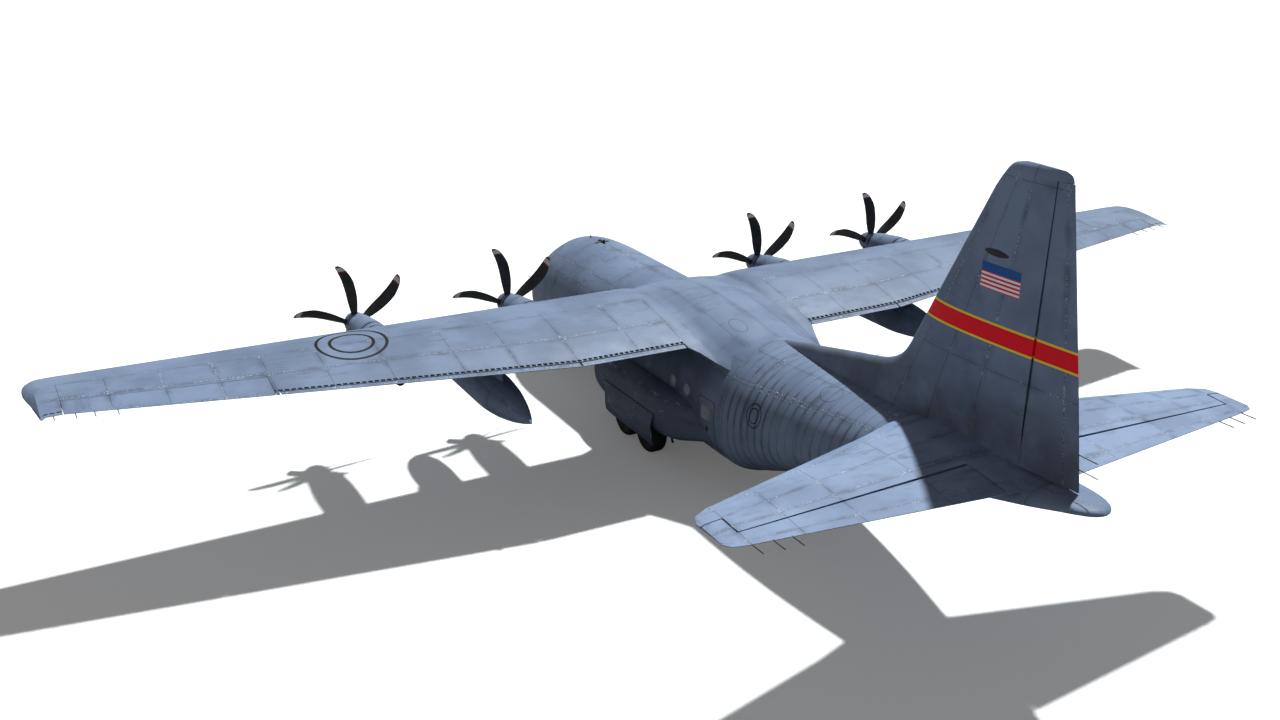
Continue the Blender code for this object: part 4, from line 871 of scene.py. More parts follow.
# The fin's paint darkens towards its foot: painted shade and grime.
paint_fin = painted("fin_paint", (6.86, 11.45), (1.12,), (0.4, 2.0, 3.72),
                    marks=(fin_foot_grime_and_shade, fin_band, fin_panel), streak=(1.0, 0.45, 1.8), tone=1.04)
paint_small = painted("fairing_paint", (0.5, 1.05, 1.9, 2.75, 3.7, 4.5, 9.6, 10.9, 12.4, 13.8, 14.9),
                      (0.55, 1.15), ())
radome_paint = plain("radome_finish", (0.165, 0.200, 0.300), (0.135, 0.165, 0.255), 0.42, 0.8)
propeller_black = propeller_finish()
spinner_paint = plain("spinner_finish", (0.150, 0.185, 0.290), (0.115, 0.145, 0.235), 0.38, 2.0)
tyre_rubber = tyre_finish()
gear_steel = plain("gear_steel", (0.60, 0.61, 0.63), (0.42, 0.43, 0.45), 0.22, 5.0, metallic=0.85)
hub_paint = plain("hub_paint", (0.55, 0.56, 0.57), (0.36, 0.37, 0.38), 0.40, 7.0, metallic=0.2)
dark_metal = plain("dark_metal", (0.060, 0.058, 0.056), (0.025, 0.024, 0.024), 0.45, 4.0, metallic=0.6)
burnt_metal = plain("burnt_metal", (0.110, 0.085, 0.065), (0.040, 0.034, 0.032), 0.45, 3.0, metallic=0.7)
frame_black = plain("frame_black", (0.030, 0.031, 0.034), (0.018, 0.018, 0.020), 0.40, 6.0)
lining = plain("hold_lining", (0.42, 0.45, 0.45), (0.30, 0.33, 0.33), 0.62, 1.2, bump=1.0, distance=0.003)
deck_grey = plain("deck_grey", (0.13, 0.14, 0.14), (0.075, 0.08, 0.082), 0.60, 3.0)
primer = plain("bay_primer", (0.50, 0.52, 0.52), (0.36, 0.38, 0.38), 0.55, 2.0)
seat_cloth = fabric_finish()
cabin_glass = glass_finish("cabin_glass", (0.24, 0.28, 0.30))
port_glass = plain("port_pane", (0.21, 0.24, 0.29), (0.155, 0.175, 0.205), 0.10, 4.0, bump=0.1)
lamp_glass = glow_finish("lamp_glass", (0.80, 0.80, 0.76), 0.2)
lamp_red = glow_finish("lamp_red", (0.60, 0.02, 0.02), 0.3)
lamp_green = glow_finish("lamp_green", (0.01, 0.35, 0.10), 0.3)
screen_glow = glow_finish("screen_glow", (0.02, 0.09, 0.10), 0.4)


def half_thickness(fraction, ratio):
    x = np.maximum(fraction, 0.0)
    return 5 * ratio * (0.2969 * np.sqrt(x) - 0.1260 * x - 0.3516 * x ** 2
                        + 0.2843 * x ** 3 - 0.1015 * x ** 4)


def camber_line(fraction):
    peak = CAMBER_PEAK
    ahead = CAMBER / peak ** 2 * (2 * peak * fraction - fraction ** 2)
    behind = CAMBER / (1 - peak) ** 2 * ((1 - 2 * peak) + 2 * peak * fraction - fraction ** 2)
    return np.where(fraction < peak, ahead, behind)


def wing_point(x, fraction, share):
    """Points of the wing: share 0 is the lower skin, 1 the upper skin."""
    le_s, le_z, te_s, te_z, ratio = wing(abs(x))
    chord = te_s - le_s
    height = (camber_line(fraction) + half_thickness(fraction, ratio) * (2 * share - 1)) * chord
    return stack(x, le_s + fraction * chord, le_z + (te_z - le_z) * fraction + height)


CROWD = 1.8
UPPER = np.linspace(1.0, 0.0, 27) ** CROWD
LOWER = np.linspace(0.0, 1.0, 21)[1:] ** CROWD


def wing_ring(x, plain_edge=False):
    kind = "full" if plain_edge else next(kind for last, kind in WING_KINDS if abs(x) <= last)
    upper_end, lower_end, inner_a, inner_b = TRAILING_KINDS[kind]
    fraction = np.concatenate([UPPER * upper_end, LOWER * lower_end, [inner_a[0], inner_b[0]]])
    share = np.concatenate([np.ones(len(UPPER)), np.zeros(len(LOWER)), [inner_a[1], inner_b[1]]])
    return wing_point(x, fraction, share)


def wing_panel(x, station, z):
    le_s, _, te_s, _, _ = wing(np.abs(x)).T
    return np.abs(x), (station - le_s) / (te_s - le_s) * PANEL_CHORD


def span_stops(rows, edges, step):
    """Span positions of one half, crowded towards the tip and doubled at each edge."""
    tip, last = rows[-2][0], rows[-1][0]
    keys = stops(rows, 0.0, tip, step) + [tip + (last - tip) * share for share in ROUNDING]
    changes = [edge + side * 0.005 for edge in edges for side in (-1, 1)]
    keys = [key for key in keys if all(abs(key - edge) > 0.03 for edge in changes)]
    return sorted(keys + changes)


def both_ways(keys):
    """Positions over the whole span, from those of one half."""
    return [-key for key in reversed(keys) if key > 0] + keys


WING_STOPS = span_stops(WING, [last for last, _ in WING_KINDS[:-1]], 0.35)


def wing_solid(keys, plain_edge=False):
    return loft([wing_ring(x, plain_edge) for x in both_ways(keys)])


def make_wing():
    piece("wing_skin", wing_solid(WING_STOPS), "root", [paint_wing], ["wing"], wing_panel)


FLAP_NOSE = [(0.80 - 0.048 * math.cos(a), 0.34 + 0.31 * math.sin(a))
             for a in np.linspace(-math.pi / 2, math.pi / 2, 11)]
FLAP_SECTION = FLAP_NOSE + [(0.93, 0.612), (0.954, 0.58), (0.9625, 0.88), (0.968, 0.985),
                            (1.0, 1.0), (1.0, 0.0), (0.88, 0.0)]


def flap_ring(x):
    fraction, share = np.array(FLAP_SECTION).T
    return wing_point(x, fraction, share)


def make_flaps():
    for name, start, end in FLAP_SPANS:
        keys = np.linspace(start, end, 2 + round((end - start) / 0.4))
        mesh = loft([flap_ring(x) for x in keys])
        pair(f"flap_skin_{name}_{{}}", mesh, "flaps_{}", [paint_flap],
             [f"flap_{name}_{{}}"], wing_panel)


def aileron_ring(x):
    le_s, _, te_s, _, ratio = wing(x)
    radius = half_thickness(AILERON_HINGE, ratio) * (te_s - le_s)
    centre = wing_point(x, AILERON_HINGE, 0.5)[0]
    angle = np.linspace(math.pi / 2, 3 * math.pi / 2, 15)
    nose = stack(x, centre[1] + radius * np.cos(angle), centre[2] + radius * np.sin(angle))
    edge = wing_point(x, np.array([1.0, 1.0]), np.array([0.0, 1.0]))
    return np.concatenate([edge, nose])


def pin(start, end):
    return tubes([(PIN_RADIUS, (start, end))], 4)


def make_ailerons():
    start, end = AILERON_SPAN
    surface = loft([aileron_ring(x) for x in np.linspace(start, end, 14)])
    inner, outer = (wing_point(x, AILERON_HINGE, 0.5)[0] for x in AILERON_SPAN)
    way = (outer - inner) / np.linalg.norm(outer - inner)
    pins = [pin(inner - way * 0.05, inner + way * 0.05), pin(outer - way * 0.05, outer + way * 0.05)]
    pair("aileron_skin_{}", join(surface, *pins), "aileron_{}", [paint_flap],
         ["aileron_{}"], wing_panel)


FOIL = np.linspace(1.0, 0.0, 31) ** CROWD


def foil_ring(leading, trailing, end, ratio, place, lip=0.0):
    """Symmetric section cut off at a station; place(station, offset) gives the points.

    lip is how far both skins reach past that station, over the nose of a control surface.
    """
    chord = trailing - leading
    fraction = FOIL * (end + lip - leading) / chord
    offset = half_thickness(fraction, ratio) * chord
    station = leading + fraction * chord
    cove = place(np.array([end, end]), np.array([-0.75, 0.75]) * offset[0])
    return np.concatenate([place(station, offset), place(station[-2::-1], -offset[-2::-1]), cove])


def level(x, z):
    return lambda station, offset: stack(x, station, z + offset)


def tail_solid():
    first, last = ELEVATOR_SPAN
    rings = []
    for x in both_ways(span_stops(TAILPLANE, ELEVATOR_SPAN, 0.35)):
        leading, trailing, end, ratio = tailplane(abs(x))
        lip = ELEVATOR_LIP if first < abs(x) < last else 0.0
        rings.append(foil_ring(leading, trailing, end, ratio, level(x, TAIL_Z), lip))
    return loft(rings)


def tail_panel(x, station, z):
    leading, trailing, _, _ = tailplane(np.abs(x)).T
    return np.abs(x), (station - leading) / (trailing - leading) * PANEL_CHORD


def control_ring(nose, hinge, trailing, radius, edge, place):
    """Control surface: thin trailing edge, straight sides, round nose ahead of the hinge."""
    angle = np.linspace(0.0, math.pi / 2, 8)
    station = np.concatenate([[trailing], hinge - (hinge - nose) * np.sin(angle)])
    offset = np.concatenate([[edge], radius * np.cos(angle)])
    return np.concatenate([place(station, offset), place(station[-2::-1], -offset[-2::-1])])


def make_tail():
    piece("tailplane_skin", tail_solid(), "root", [paint_tail_lit], ["tailplane"], tail_panel)
    rings = []
    for x in (*stops(ELEVATOR, *ELEVATOR_ENDS, 0.4), *ELEVATOR_HORN):
        nose, trailing = elevator(x)
        hinge = nose + 0.03 if x >= ELEVATOR_HORN[0] else float(elevator_hinge(x)[0])
        leading, tail_edge, _, ratio = tailplane(x)
        chord = tail_edge - leading
        radius = half_thickness((hinge - leading) / chord, ratio) * chord
        rings.append(control_ring(nose, hinge, trailing, radius, 0.008, level(x, TAIL_Z)))
    mesh = join(loft(rings), pin((1.07, 26.60, TAIL_Z), (1.2, 26.602, TAIL_Z)))
    pair("elevator_skin_{}", mesh, "elevator_{}", [paint_tail_lit], ["elevator_{}"], tail_panel)


def upright(z):
    return lambda station, offset: stack(offset, station, z)


def fin_panel_place(x, station, z):
    """Height, and the place between the straight edges of the fin drawn on downwards."""
    leading, trailing = (foot + slope * (z - FIN_FOOT) for foot, slope in FIN_EDGES)
    return z, (station - leading) / (trailing - leading) * PANEL_CHORD


def make_fin(hull, tail):
    keys = [*stops(FIN, 4.40, 4.86, 0.08), *stops(FIN, 4.87, FIN_FOOT, 0.08),
            *stops(FIN, FIN_FOOT, 11.60, 0.3)[1:], FIN_CAP,
            *(FIN_CAP + 0.23 * share for share in ROUNDING)]
    first, last = RUDDER_SPAN
    rings = []
    for z in keys:
        leading, trailing, end, thickness = fin(z)
        lip = np.interp(z, RUDDER_SPAN, RUDDER_LIPS) if first < z < last else 0.0
        ratio = thickness / (trailing - leading)
        rings.append(foil_ring(leading, trailing, end, ratio, upright(z), lip))
    piece("fin_skin", cut(loft(rings), tail, hull), "root", [paint_fin], ["fin"],
          fin_panel_place)
    rings = []
    for z in np.linspace(*RUDDER_ENDS, 24):
        nose, trailing, thickness = rudder(z)
        hinge = float(rudder_hinge(z)[0])
        rings.append(control_ring(nose, hinge, trailing, thickness / 2, 0.012, upright(z)))
    pins = [pin((0.0, 27.2995, 4.87), (0.0, 27.302, 5.0)),
            pin((0.0, 27.438, 11.5), (0.0, 27.4405, 11.60))]
    piece("rudder_skin", join(loft(rings), *pins), "rudder", [paint_fin], ["rudder"],
          fin_panel_place)


QUARTER = 26


def fuselage_ring(station, inset=0.0):
    """Ring of points, evenly spaced within each quarter."""
    half, top, widest, bottom, lower = fuselage(station)
    points = []
    for quarter in range(4):
        angle = np.linspace(quarter, quarter + 1, 90) * math.pi / 2
        power = 1.0 if quarter < 2 else 2 / lower
        rise = (top - widest if quarter < 2 else widest - bottom) - inset
        x = (half - inset) * signed_power(np.cos(angle), power)
        z = widest + rise * signed_power(np.sin(angle), power)
        run = np.concatenate([[0.0], np.cumsum(np.hypot(np.diff(x), np.diff(z)))])
        even = np.linspace(0.0, run[-1], QUARTER + 1)[:-1]
        points.append(stack(np.interp(even, run, x), station, np.interp(even, run, z)))
    return np.concatenate(points)


def hull_rings(start, end, inset=0.0, step=0.2):
    return np.array([fuselage_ring(s, inset) for s in stops(FUSELAGE, start, end, step)])


def hull_shell(start, end, step=0.2, outer=0.0, inner=SKIN):
    """Length of the fuselage's wall, between two depths below its outside."""
    return plate(hull_rings(start, end, outer, step), hull_rings(start, end, inner, step), wrap=True)


def skin_x(station, z, inset=0.0):
    """Half width of the fuselage at a height."""
    half, top, widest, bottom, lower = fuselage(station)
    power = 2.0 if z >= widest else lower
    rise = (top - widest if z >= widest else widest - bottom) - inset
    share = min(abs(z - widest) / rise, 1.0)
    return (half - inset) * (1 - share ** power) ** (1 / power)


def belly_z(station, x):
    """Height of the fuselage's underside."""
    half, _, widest, bottom, lower = fuselage(station)
    share = min(abs(x) / half, 1.0)
    return widest - (widest - bottom) * (1 - share ** lower) ** (1 / lower)


def hull_panel(x, station, z):
    widest = fuselage(np.clip(station, 0.0, LENGTH))[..., 2]
    return station, np.arctan2(np.abs(x), z - widest) * 2.1


def make_radome_and_tail(tail):
    rings = [fuselage_ring(NOSE_SPLIT * (k / 18) ** 2) for k in range(18)]
    rings.append(fuselage_ring(NOSE_SPLIT - GAP))
    piece("radome_skin", loft(rings), "root", [radome_paint], ["radome"], hull_panel)
    keys = stops(FUSELAGE, TAIL_SPLIT + GAP, 29.50, 0.2) + [29.6, 29.66, 29.70, 29.74, 29.77, 29.79]
    cone = cut(loft([fuselage_ring(s) for s in keys]), tail)
    piece("tail_cone_skin", cone, "root", [paint_aft], ["tail_cone"], hull_panel)


def window_tools(grow=0.0):
    """Rounded boxes that cut the flight-deck windows."""
    def tool(low, high, along):
        out = Vector((grow, grow, grow))
        return box(Vector(low) - out, Vector(high) + out, 0.07, along)
    tools = [tool(*WINDSCREEN, 1), both(tool(*SIDE_WINDOWS[0], 1))]
    tools += [both(tool(low, high, 0)) for low, high in SIDE_WINDOWS[1:]]
    return join(*tools)


def make_nose():
    start, end, low, high = CREW_DOOR
    doorway = box((1.0, start - RUN_GAP, low - GAP), (2.6, end + RUN_GAP, high + RUN_GAP), 0.08, 0)
    mesh = cut(hull_shell(NOSE_SPLIT, CABIN_SPLIT, 0.10), doorway, box(*NOSE_BAY), window_tools())
    piece("nose_skin", mesh, "root", [paint_hull, lining], ["fuselage_nose"], hull_panel)
    rims = carve(hull_shell(1.9, 4.0, 0.1, -0.012, 0.03), ("INTERSECT", window_tools(0.034)),
                 ("DIFFERENCE", window_tools(0.002)))
    piece("window_frames", rims, "root", [frame_black])
    outer, inner = (hull_rings(1.97, 3.80, SKIN + GAP + depth, 0.08)[:, :2 * QUARTER + 1]
                    for depth in (0.0, GLASS_THICKNESS))
    piece("windscreen_glass", plate(outer, inner), "root", [cabin_glass, cabin_glass],
          ["flight_deck_glass"])


def side_box(opening, grow=0.0, radius=0.09):
    """Rounded box through the port side, round a door's opening."""
    start, end, low, high = opening
    return box((1.2, start - grow, low - grow), (2.6, end + grow, high + grow), radius, 0)


def make_centre(wing_tool):
    slots = [both(box((1.76, axle - 0.10, 1.18), (2.30, axle + 0.10, 1.92))) for _, axle in MAIN_AXLES]
    mesh = cut(hull_shell(CABIN_SPLIT + GAP, HOLD_END, 0.4), wing_tool, both(side_box(PARA_DOOR, GAP)),
               join(*slots))
    piece("centre_skin", mesh, "root", [paint_hull, lining], ["fuselage_centre"], hull_panel)


def door_half_width(station):
    """Half width of the upper cargo door, which narrows aft."""
    return np.interp(station, (DOOR[0], DOOR[1] - DOOR_ROOM), DOOR_HALF_WIDTHS)


def make_aft(tail):
    ramp_end = RAMP[1] + RUN_GAP
    keys = sorted(stops(FUSELAGE, RAMP[0] - GAP, DOOR[1] + GAP, 0.3) + [ramp_end, DOOR[0]])

    def half_width(s):
        return RAMP_HALF_WIDTH + RUN_GAP if s <= ramp_end else door_half_width(s) + DOOR_GAP

    def edge(z_of):
        return np.array([[(sign * half_width(s), s, z_of(s)) for sign in (-1, 1)] for s in keys])
    opening = plate(edge(lambda s: -0.5), edge(lambda s: belly_z(s, 0.0) + 0.75))
    mesh = cut(hull_shell(HOLD_END + GAP, TAIL_SPLIT), tail, opening)
    piece("aft_skin", mesh, "root", [paint_aft, lining], ["fuselage_aft"], hull_panel)


def belly_plate(start, end, half_width, thickness, lean=0.0, edge=1.0):
    """Curved plate that follows the fuselage's underside.

    lean is how far the inner face stops short of the aft end, and edge is the share of the
    thickness that is left along the sides.
    """
    def grid(rise, back):
        rows = []
        for s in stops(FUSELAGE, start, end, 0.2):
            place = s - (back if s == end else 0.0)
            width = half_width(s)
            across = np.linspace(-1.0, 1.0, 25) * width
            rows.append([(x, place, belly_z(place, x) + rise * (1 - (1 - edge) * (x / width) ** 4))
                         for x in across])
        return np.array(rows)
    return plate(grid(0.0, 0.0), grid(thickness, lean))


def make_cargo_doors():
    start, end, thickness = RAMP
    start += RAMP_ROOM
    ramp = belly_plate(start, end, lambda s: RAMP_HALF_WIDTH, thickness, RAMP_LEAN)
    rails = []
    for x in (-0.95, -0.35, 0.35, 0.95):
        keys = np.linspace(start + 0.12, end - 0.25, 24)
        rings = [np.array([(x + a, s, belly_z(s, x) + thickness + b) for a, b in
                           ((-0.05, -0.03), (0.05, -0.03), (0.05, 0.03), (-0.05, 0.03))]) for s in keys]
        rails.append(loft(rings, index=2))
    piece("ramp_skin", join(ramp, *rails), "cargo_ramp", [paint_aft, deck_grey, gear_steel],
          ["cargo_ramp"], hull_panel)
    start, end, thickness = DOOR
    end -= DOOR_ROOM
    door = belly_plate(start, end, door_half_width, thickness, DOOR_LEAN, DOOR_EDGE)
    piece("cargo_door_skin", door, "cargo_door", [paint_aft, lining], ["cargo_door"], hull_panel)


def side_plate(door):
    """Part of the port wall, as wide and high as a door."""
    start, end, low, high = door
    stations, heights = np.linspace(start, end, 12), np.linspace(low, high, 24)
    return plate(*(np.array([[(skin_x(s, z) - depth, s, z) for z in heights] for s in stations])
                   for depth in (0.0, SKIN)))


def make_side_doors():
    start, end, low, high = CREW_DOOR
    corners = box((1.0, start, low), (2.6, end, high), 0.08, 0)
    door = carve(side_plate(CREW_DOOR), ("INTERSECT", corners))
    steps = []
    for k in range(4):
        z = low + 0.18 + 0.25 * k
        x = skin_x(start, z) - SKIN
        steps.append(box((x - 0.10, start + 0.12, z - 0.02), (x + 0.02, end - 0.12, z + 0.02), 0.008,
                         index=2, segments=2))
    piece("crew_door_skin", join(door, *steps), "crew_door", [paint_hull, lining, gear_steel],
          ["crew_door"], hull_panel)
    start, end = PARA_DOOR[:2]
    pane = box((1.5, start + 0.13, 2.28), (2.6, end - 0.27, 2.80), 0.05, 0)
    door = carve(side_plate(PARA_DOOR), ("INTERSECT", side_box(PARA_DOOR)), ("DIFFERENCE", pane))
    inset = carve(hull_shell(start, end, 0.2, 0.012, 0.03), ("INTERSECT", pane))
    pair("paratroop_door_skin_{}", door, "root", [paint_hull, lining],
         ["paratroop_door_{}"], hull_panel)
    piece("paratroop_door_panes", both(inset), "root", [port_glass])
    seal = carve(hull_shell(start - 0.1, end + 0.1, 0.2, -0.004, 0.02),
                 ("INTERSECT", side_box(PARA_DOOR, 0.016, 0.1)),
                 ("DIFFERENCE", side_box(PARA_DOOR, -0.006, 0.085)))
    piece("paratroop_door_seals", both(seal), "root", [frame_black])


def make_windows():
    """Round side windows: a rim and a pane, both set on the skin."""
    rims, panes = [], []
    for station, z in PORTS:
        slope = math.atan2(skin_x(station, z - 0.1) - skin_x(station, z + 0.1), 0.2)
        place = (Matrix.Translation((skin_x(station, z), station, z))
                 @ Matrix.Rotation(-slope, 4, "Y"))
        rims.append(moved(turned(PORT_RIM, "X", sides=40), place))
        panes.append(moved(turned(PORT_PANE, "X", sides=40), place))
    piece("side_window_rims", both(join(*rims)), "root", [paint_small])
    piece("side_window_panes", both(join(*panes)), "root", [port_glass])


def make_interior():
    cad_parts["cargo_floor"].material_slots[0].material = deck_grey
    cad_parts["flight_deck_floor"].material_slots[0].material = deck_grey
    ribs = []
    for station in np.arange(5.6, 17.0, 0.52):
        rings = []
        for z in np.linspace(1.12, 3.95, 26):
            outer, inner = skin_x(station, z, SKIN) - 0.002, skin_x(station, z, SKIN) - RIB_DEPTH
            rings.append(np.array([(outer, station - 0.02, z), (outer, station + 0.02, z),
                                   (inner, station + 0.02, z), (inner, station - 0.02, z)]))
        ribs.append(loft(rings))
    piece("hold_ribs", both(join(*ribs)), "root", [primer])
    rollers = []
    for x in (0.35, 0.95):
        rollers.append(box((x - 0.06, 5.6, FLOOR_Z + 0.001), (x + 0.06, 17.0, FLOOR_Z + 0.03), 0.006,
                           segments=1))
        for station in np.arange(5.8, 16.9, 0.25):
            rollers.append(tubes([(0.022, ((x - 0.05, station, FLOOR_Z + 0.035),
                                           (x + 0.05, station, FLOOR_Z + 0.035)))], 2))
    piece("floor_rollers", both(join(*rollers)), "root", [gear_steel])


def make_flight_deck():
    desk = [box((-0.85, 2.46, DECK_Z + GAP), (0.85, 2.66, 3.02), 0.02),
            box((-0.88, 2.40, 3.0), (0.88, 2.74, 3.06), 0.02),
            box((-0.20, 2.66, DECK_Z + GAP), (0.20, 3.30, 2.62), 0.03)]
    screens = []
    for x in (-0.62, -0.30, 0.02, 0.34):
        screens.append(box((x, 2.655, 2.66), (x + 0.27, 2.668, 2.92), 0.012, 1, index=1))
    levers = []
    for x in (-0.09, -0.03, 0.03, 0.09):
        levers.append(tubes([(0.010, ((x, 2.92, 2.60), (x, 2.86, 2.74)))], 2))
        levers.append(box((x - 0.022, 2.83, 2.73), (x + 0.022, 2.88, 2.77), 0.008, segments=2))
    for x in (-0.62, 0.62):
        levers.append(tubes([(0.028, ((x, 2.84, DECK_Z + 0.01), (x, 2.80, 2.66)))], 3))
        wheel = [(x + 0.16 * math.cos(a), 2.80, 2.66 + 0.12 * math.sin(a))
                 for a in np.linspace(-3.6, 0.45, 22)]
        levers.append(tubes([(0.014, wheel)], 3))
    piece("instrument_desk", join(*desk, *screens, *levers), "root",
          [deck_grey, screen_glow], ["instrument_panel"])
    for side, sign in SIDES:
        x = 0.62 * sign
        shell = [box((x - 0.25, 3.03, DECK_Z + 0.36), (x + 0.25, 3.50, DECK_Z + 0.43), 0.03),
                 box((x - 0.25, 3.50, DECK_Z + 0.42), (x + 0.25, 3.57, DECK_Z + 1.26), 0.03),
                 box((x - 0.14, 3.08, DECK_Z + 0.004), (x + 0.14, 3.40, DECK_Z + 0.37), 0.03),
                 box((x - 0.29, 3.10, DECK_Z + 0.62), (x - 0.245, 3.50, DECK_Z + 0.67), 0.015),
                 box((x + 0.245, 3.10, DECK_Z + 0.62), (x + 0.29, 3.50, DECK_Z + 0.67), 0.015)]
        piece("seat_frame_" + side, join(*shell), "root", [deck_grey],
              ["pilot_seat_" + side])
        for name, low, high in (
                ("seat", (x - 0.23, 2.99, DECK_Z + 0.435), (x + 0.23, 3.44, DECK_Z + 0.55)),
                ("back", (x - 0.23, 3.39, DECK_Z + 0.56), (x + 0.23, 3.495, DECK_Z + 1.12)),
                ("head", (x - 0.14, 3.41, DECK_Z + 1.14), (x + 0.14, 3.495, DECK_Z + 1.29))):
            cushion = piece(f"{name}_cushion_{side}", cushion_mesh(low, high), "root",
                            [seat_cloth])


def cushion_mesh(low, high):
    """Crowned cushion whose sides pull in between its corners, with a seam all round."""
    bm = bmesh.new()
    size = (Vector(high) - Vector(low)) / 2
    middle = (Vector(high) + Vector(low)) / 2
    bmesh.ops.create_cube(bm, size=2.0)
    bmesh.ops.subdivide_edges(bm, edges=bm.edges[:], cuts=11, use_grid_fill=True)
    thin = min(range(3), key=lambda k: size[k])
    wide = [k for k in range(3) if k != thin]
    for vert in bm.verts:
        a, b, t = vert.co[wide[0]], vert.co[wide[1]], vert.co[thin]
        crown = (1 - a ** 4) * (1 - b ** 4)
        vert.co[thin] = t * (0.50 + 0.50 * crown ** 0.5) + 0.03 * t * math.cos(3 * math.pi * a)
        vert.co[wide[0]] = a * (1 - 0.035 * (1 - b * b)) - 0.02 * a * (abs(t) ** 2)
        vert.co[wide[1]] = b * (1 - 0.035 * (1 - a * a)) - 0.02 * b * (abs(t) ** 2)
    for vert in bm.verts:
        vert.co = Vector([m + 0.94 * s * c for m, s, c in zip(middle, size, vert.co)])
    bmesh.ops.recalc_face_normals(bm, faces=bm.faces)
    obj = bpy.data.objects.new("cushion", filled(bpy.data.meshes.new("drawing"), bm))
    obj.modifiers.new("soft", "SUBSURF").levels = 1
    return evaluated(obj)


def nacelle_ring(aft, hub_z, x, plane):
    half, top, bottom = nacelle(aft)
    return oval(x, plane + aft, hub_z + (top + bottom) / 2, half, (top - bottom) / 2, 56)


def chin_intake(hub_z, x, plane):
    """Inside of the intake below the spinner."""
    across = np.linspace(-1.0, 1.0, 13)
    rings = []
    for aft, width, high, low in CHIN_INTAKE:
        upper = stack(x + width * across, plane + aft, hub_z + high + 0.10 * across ** 2)
        lower = stack(x + width * across[::-1], plane + aft,
                      hub_z + low * (1 - 0.25 * across ** 4) + 0.06 * across ** 2)
        rings.append(np.concatenate([upper, lower]))
    return loft(rings, index=1)


def nacelle_place(x, hub_z, plane):
    def panel(px, station, z):
        return station - plane, np.arctan2(np.abs(px - x), z - hub_z + 0.15) * 0.6
    return panel


def engine_seams(n, u, v, colour):
    """Two thick black seams over the cowling's top."""
    line = n.times(n.step(n.nearest(u, (1.74, 2.06)), 0.040, 0.028),
                   n.math("SUBTRACT", 1.0, n.step(v, 0.72, 0.76)))
    return n.mix(line, colour, BLACK)


def make_engines(wing_tool):
    cowl_paint = painted("cowling_paint", (0.9, 1.72, 2.7, 3.7, 4.7), (0.5, 1.15),
                         marks=(engine_seams,))
    for name, x, hub_z, plane in ENGINES:
        body = loft([nacelle_ring(aft, hub_z, x, plane) for aft in stops(NACELLE, *NACELLE_ENDS, 0.12)])
        piece("cowling_" + name, cut(body, wing_tool, chin_intake(hub_z, x, plane)), "root",
              [cowl_paint, dark_metal], ["nacelle_" + name], nacelle_place(x, hub_z, plane))
        pipe_z = hub_z - EXHAUST_DEPTH
        pipe = turned(((0.10, 0.0), (0.155, 0.0), (0.165, 0.30), (0.150, 0.62), (0.138, 0.62),
                       (0.145, 0.30), (0.10, 0.05)), "Y", (x, plane + 3.62, pipe_z), 40)
        pipe.transform(Matrix.Translation((x, plane + 3.8, pipe_z))
                       @ Matrix.Rotation(EXHAUST_TILT, 4, "X")
                       @ Matrix.Translation((-x, -plane - 3.8, -pipe_z)))
        scoop = loft([oval(x, plane + aft, hub_z - depth, width, height, 24)
                      for aft, width, height, depth in COOLER_SCOOP])
        mouth = loft([oval(x, plane + aft, hub_z - 0.895, 0.12, 0.05, 24) for aft in (1.5, 2.0)],
                     index=1)
        scoop = cut(scoop, mouth)
        piece("exhaust_" + name, pipe, "root", [burnt_metal])
        piece("cooler_scoop_" + name, scoop, "root", [spinner_paint, dark_metal])


def blade_mesh(phase):
    rings = []
    angle = around(24)
    radii = np.concatenate([np.linspace(0.30, 1.90, 26),
                            1.90 + 0.155 * np.sin(np.linspace(0, math.pi / 2, 10))[1:]])
    for radius in radii:
        sweep, chord, thickness, pitch = blade(radius)
        turn, twist = phase + math.radians(sweep), math.radians(pitch)
        out = np.array((math.sin(turn), 0.0, math.cos(turn)))
        along = np.array((math.cos(turn), 0.0, -math.sin(turn)))
        way = along * math.cos(twist) + np.array((0.0, -1.0, 0.0)) * math.sin(twist)
        flat = np.cross(out, way)
        width = 0.5 * np.cos(angle)[:, None] * chord
        depth = 0.5 * (np.sin(angle) * (1 + 0.28 * np.cos(angle)))[:, None] * thickness
        rings.append(out * radius + way * width + flat * depth)
    return loft(rings)


SPINNER = Table(((-0.62, 0.0), (-0.58, 0.14), (-0.45, 0.26), (-0.22, 0.35), (0.05, 0.38), (0.22, 0.38)))


def make_propellers():
    blades = [blade_mesh(PROP_PHASE + 2 * math.pi * k / BLADES) for k in range(BLADES)]
    keys = [-0.62 + 0.84 * (k / 26) ** 2 for k in range(27)]
    profile = [(float(SPINNER(key)[0]), key) for key in keys] + [
        (0.375, 0.222), (0.33, 0.225), (0.12, 0.225), (0.12, 0.2588), (0.0, 0.2588)]
    spinner = turned(profile, "Y", sides=60, index=1)
    cuffs = []
    for k in range(BLADES):
        turn = PROP_PHASE + 2 * math.pi * k / BLADES
        cuff = turned(((0.0, 0.30), (0.10, 0.30), (0.112, 0.34), (0.112, 0.375), (0.098, 0.40),
                       (0.0, 0.40)), "Z", sides=28)
        cuffs.append(moved(cuff, Matrix.Rotation(turn, 4, "Y")))
    whole = join(spinner, *blades, *cuffs)
    for name, x, z, plane in ENGINES:
        def panel(px, station, pz, x=x, z=z, plane=plane):
            return np.sqrt((px - x) ** 2 + (pz - z) ** 2), station - plane
        piece("propeller_blades_" + name, moved(whole, Matrix.Translation((x, plane, z))),
              "propeller_" + name, [propeller_black, spinner_paint],
              ["propeller_" + name], panel, sharp=40)


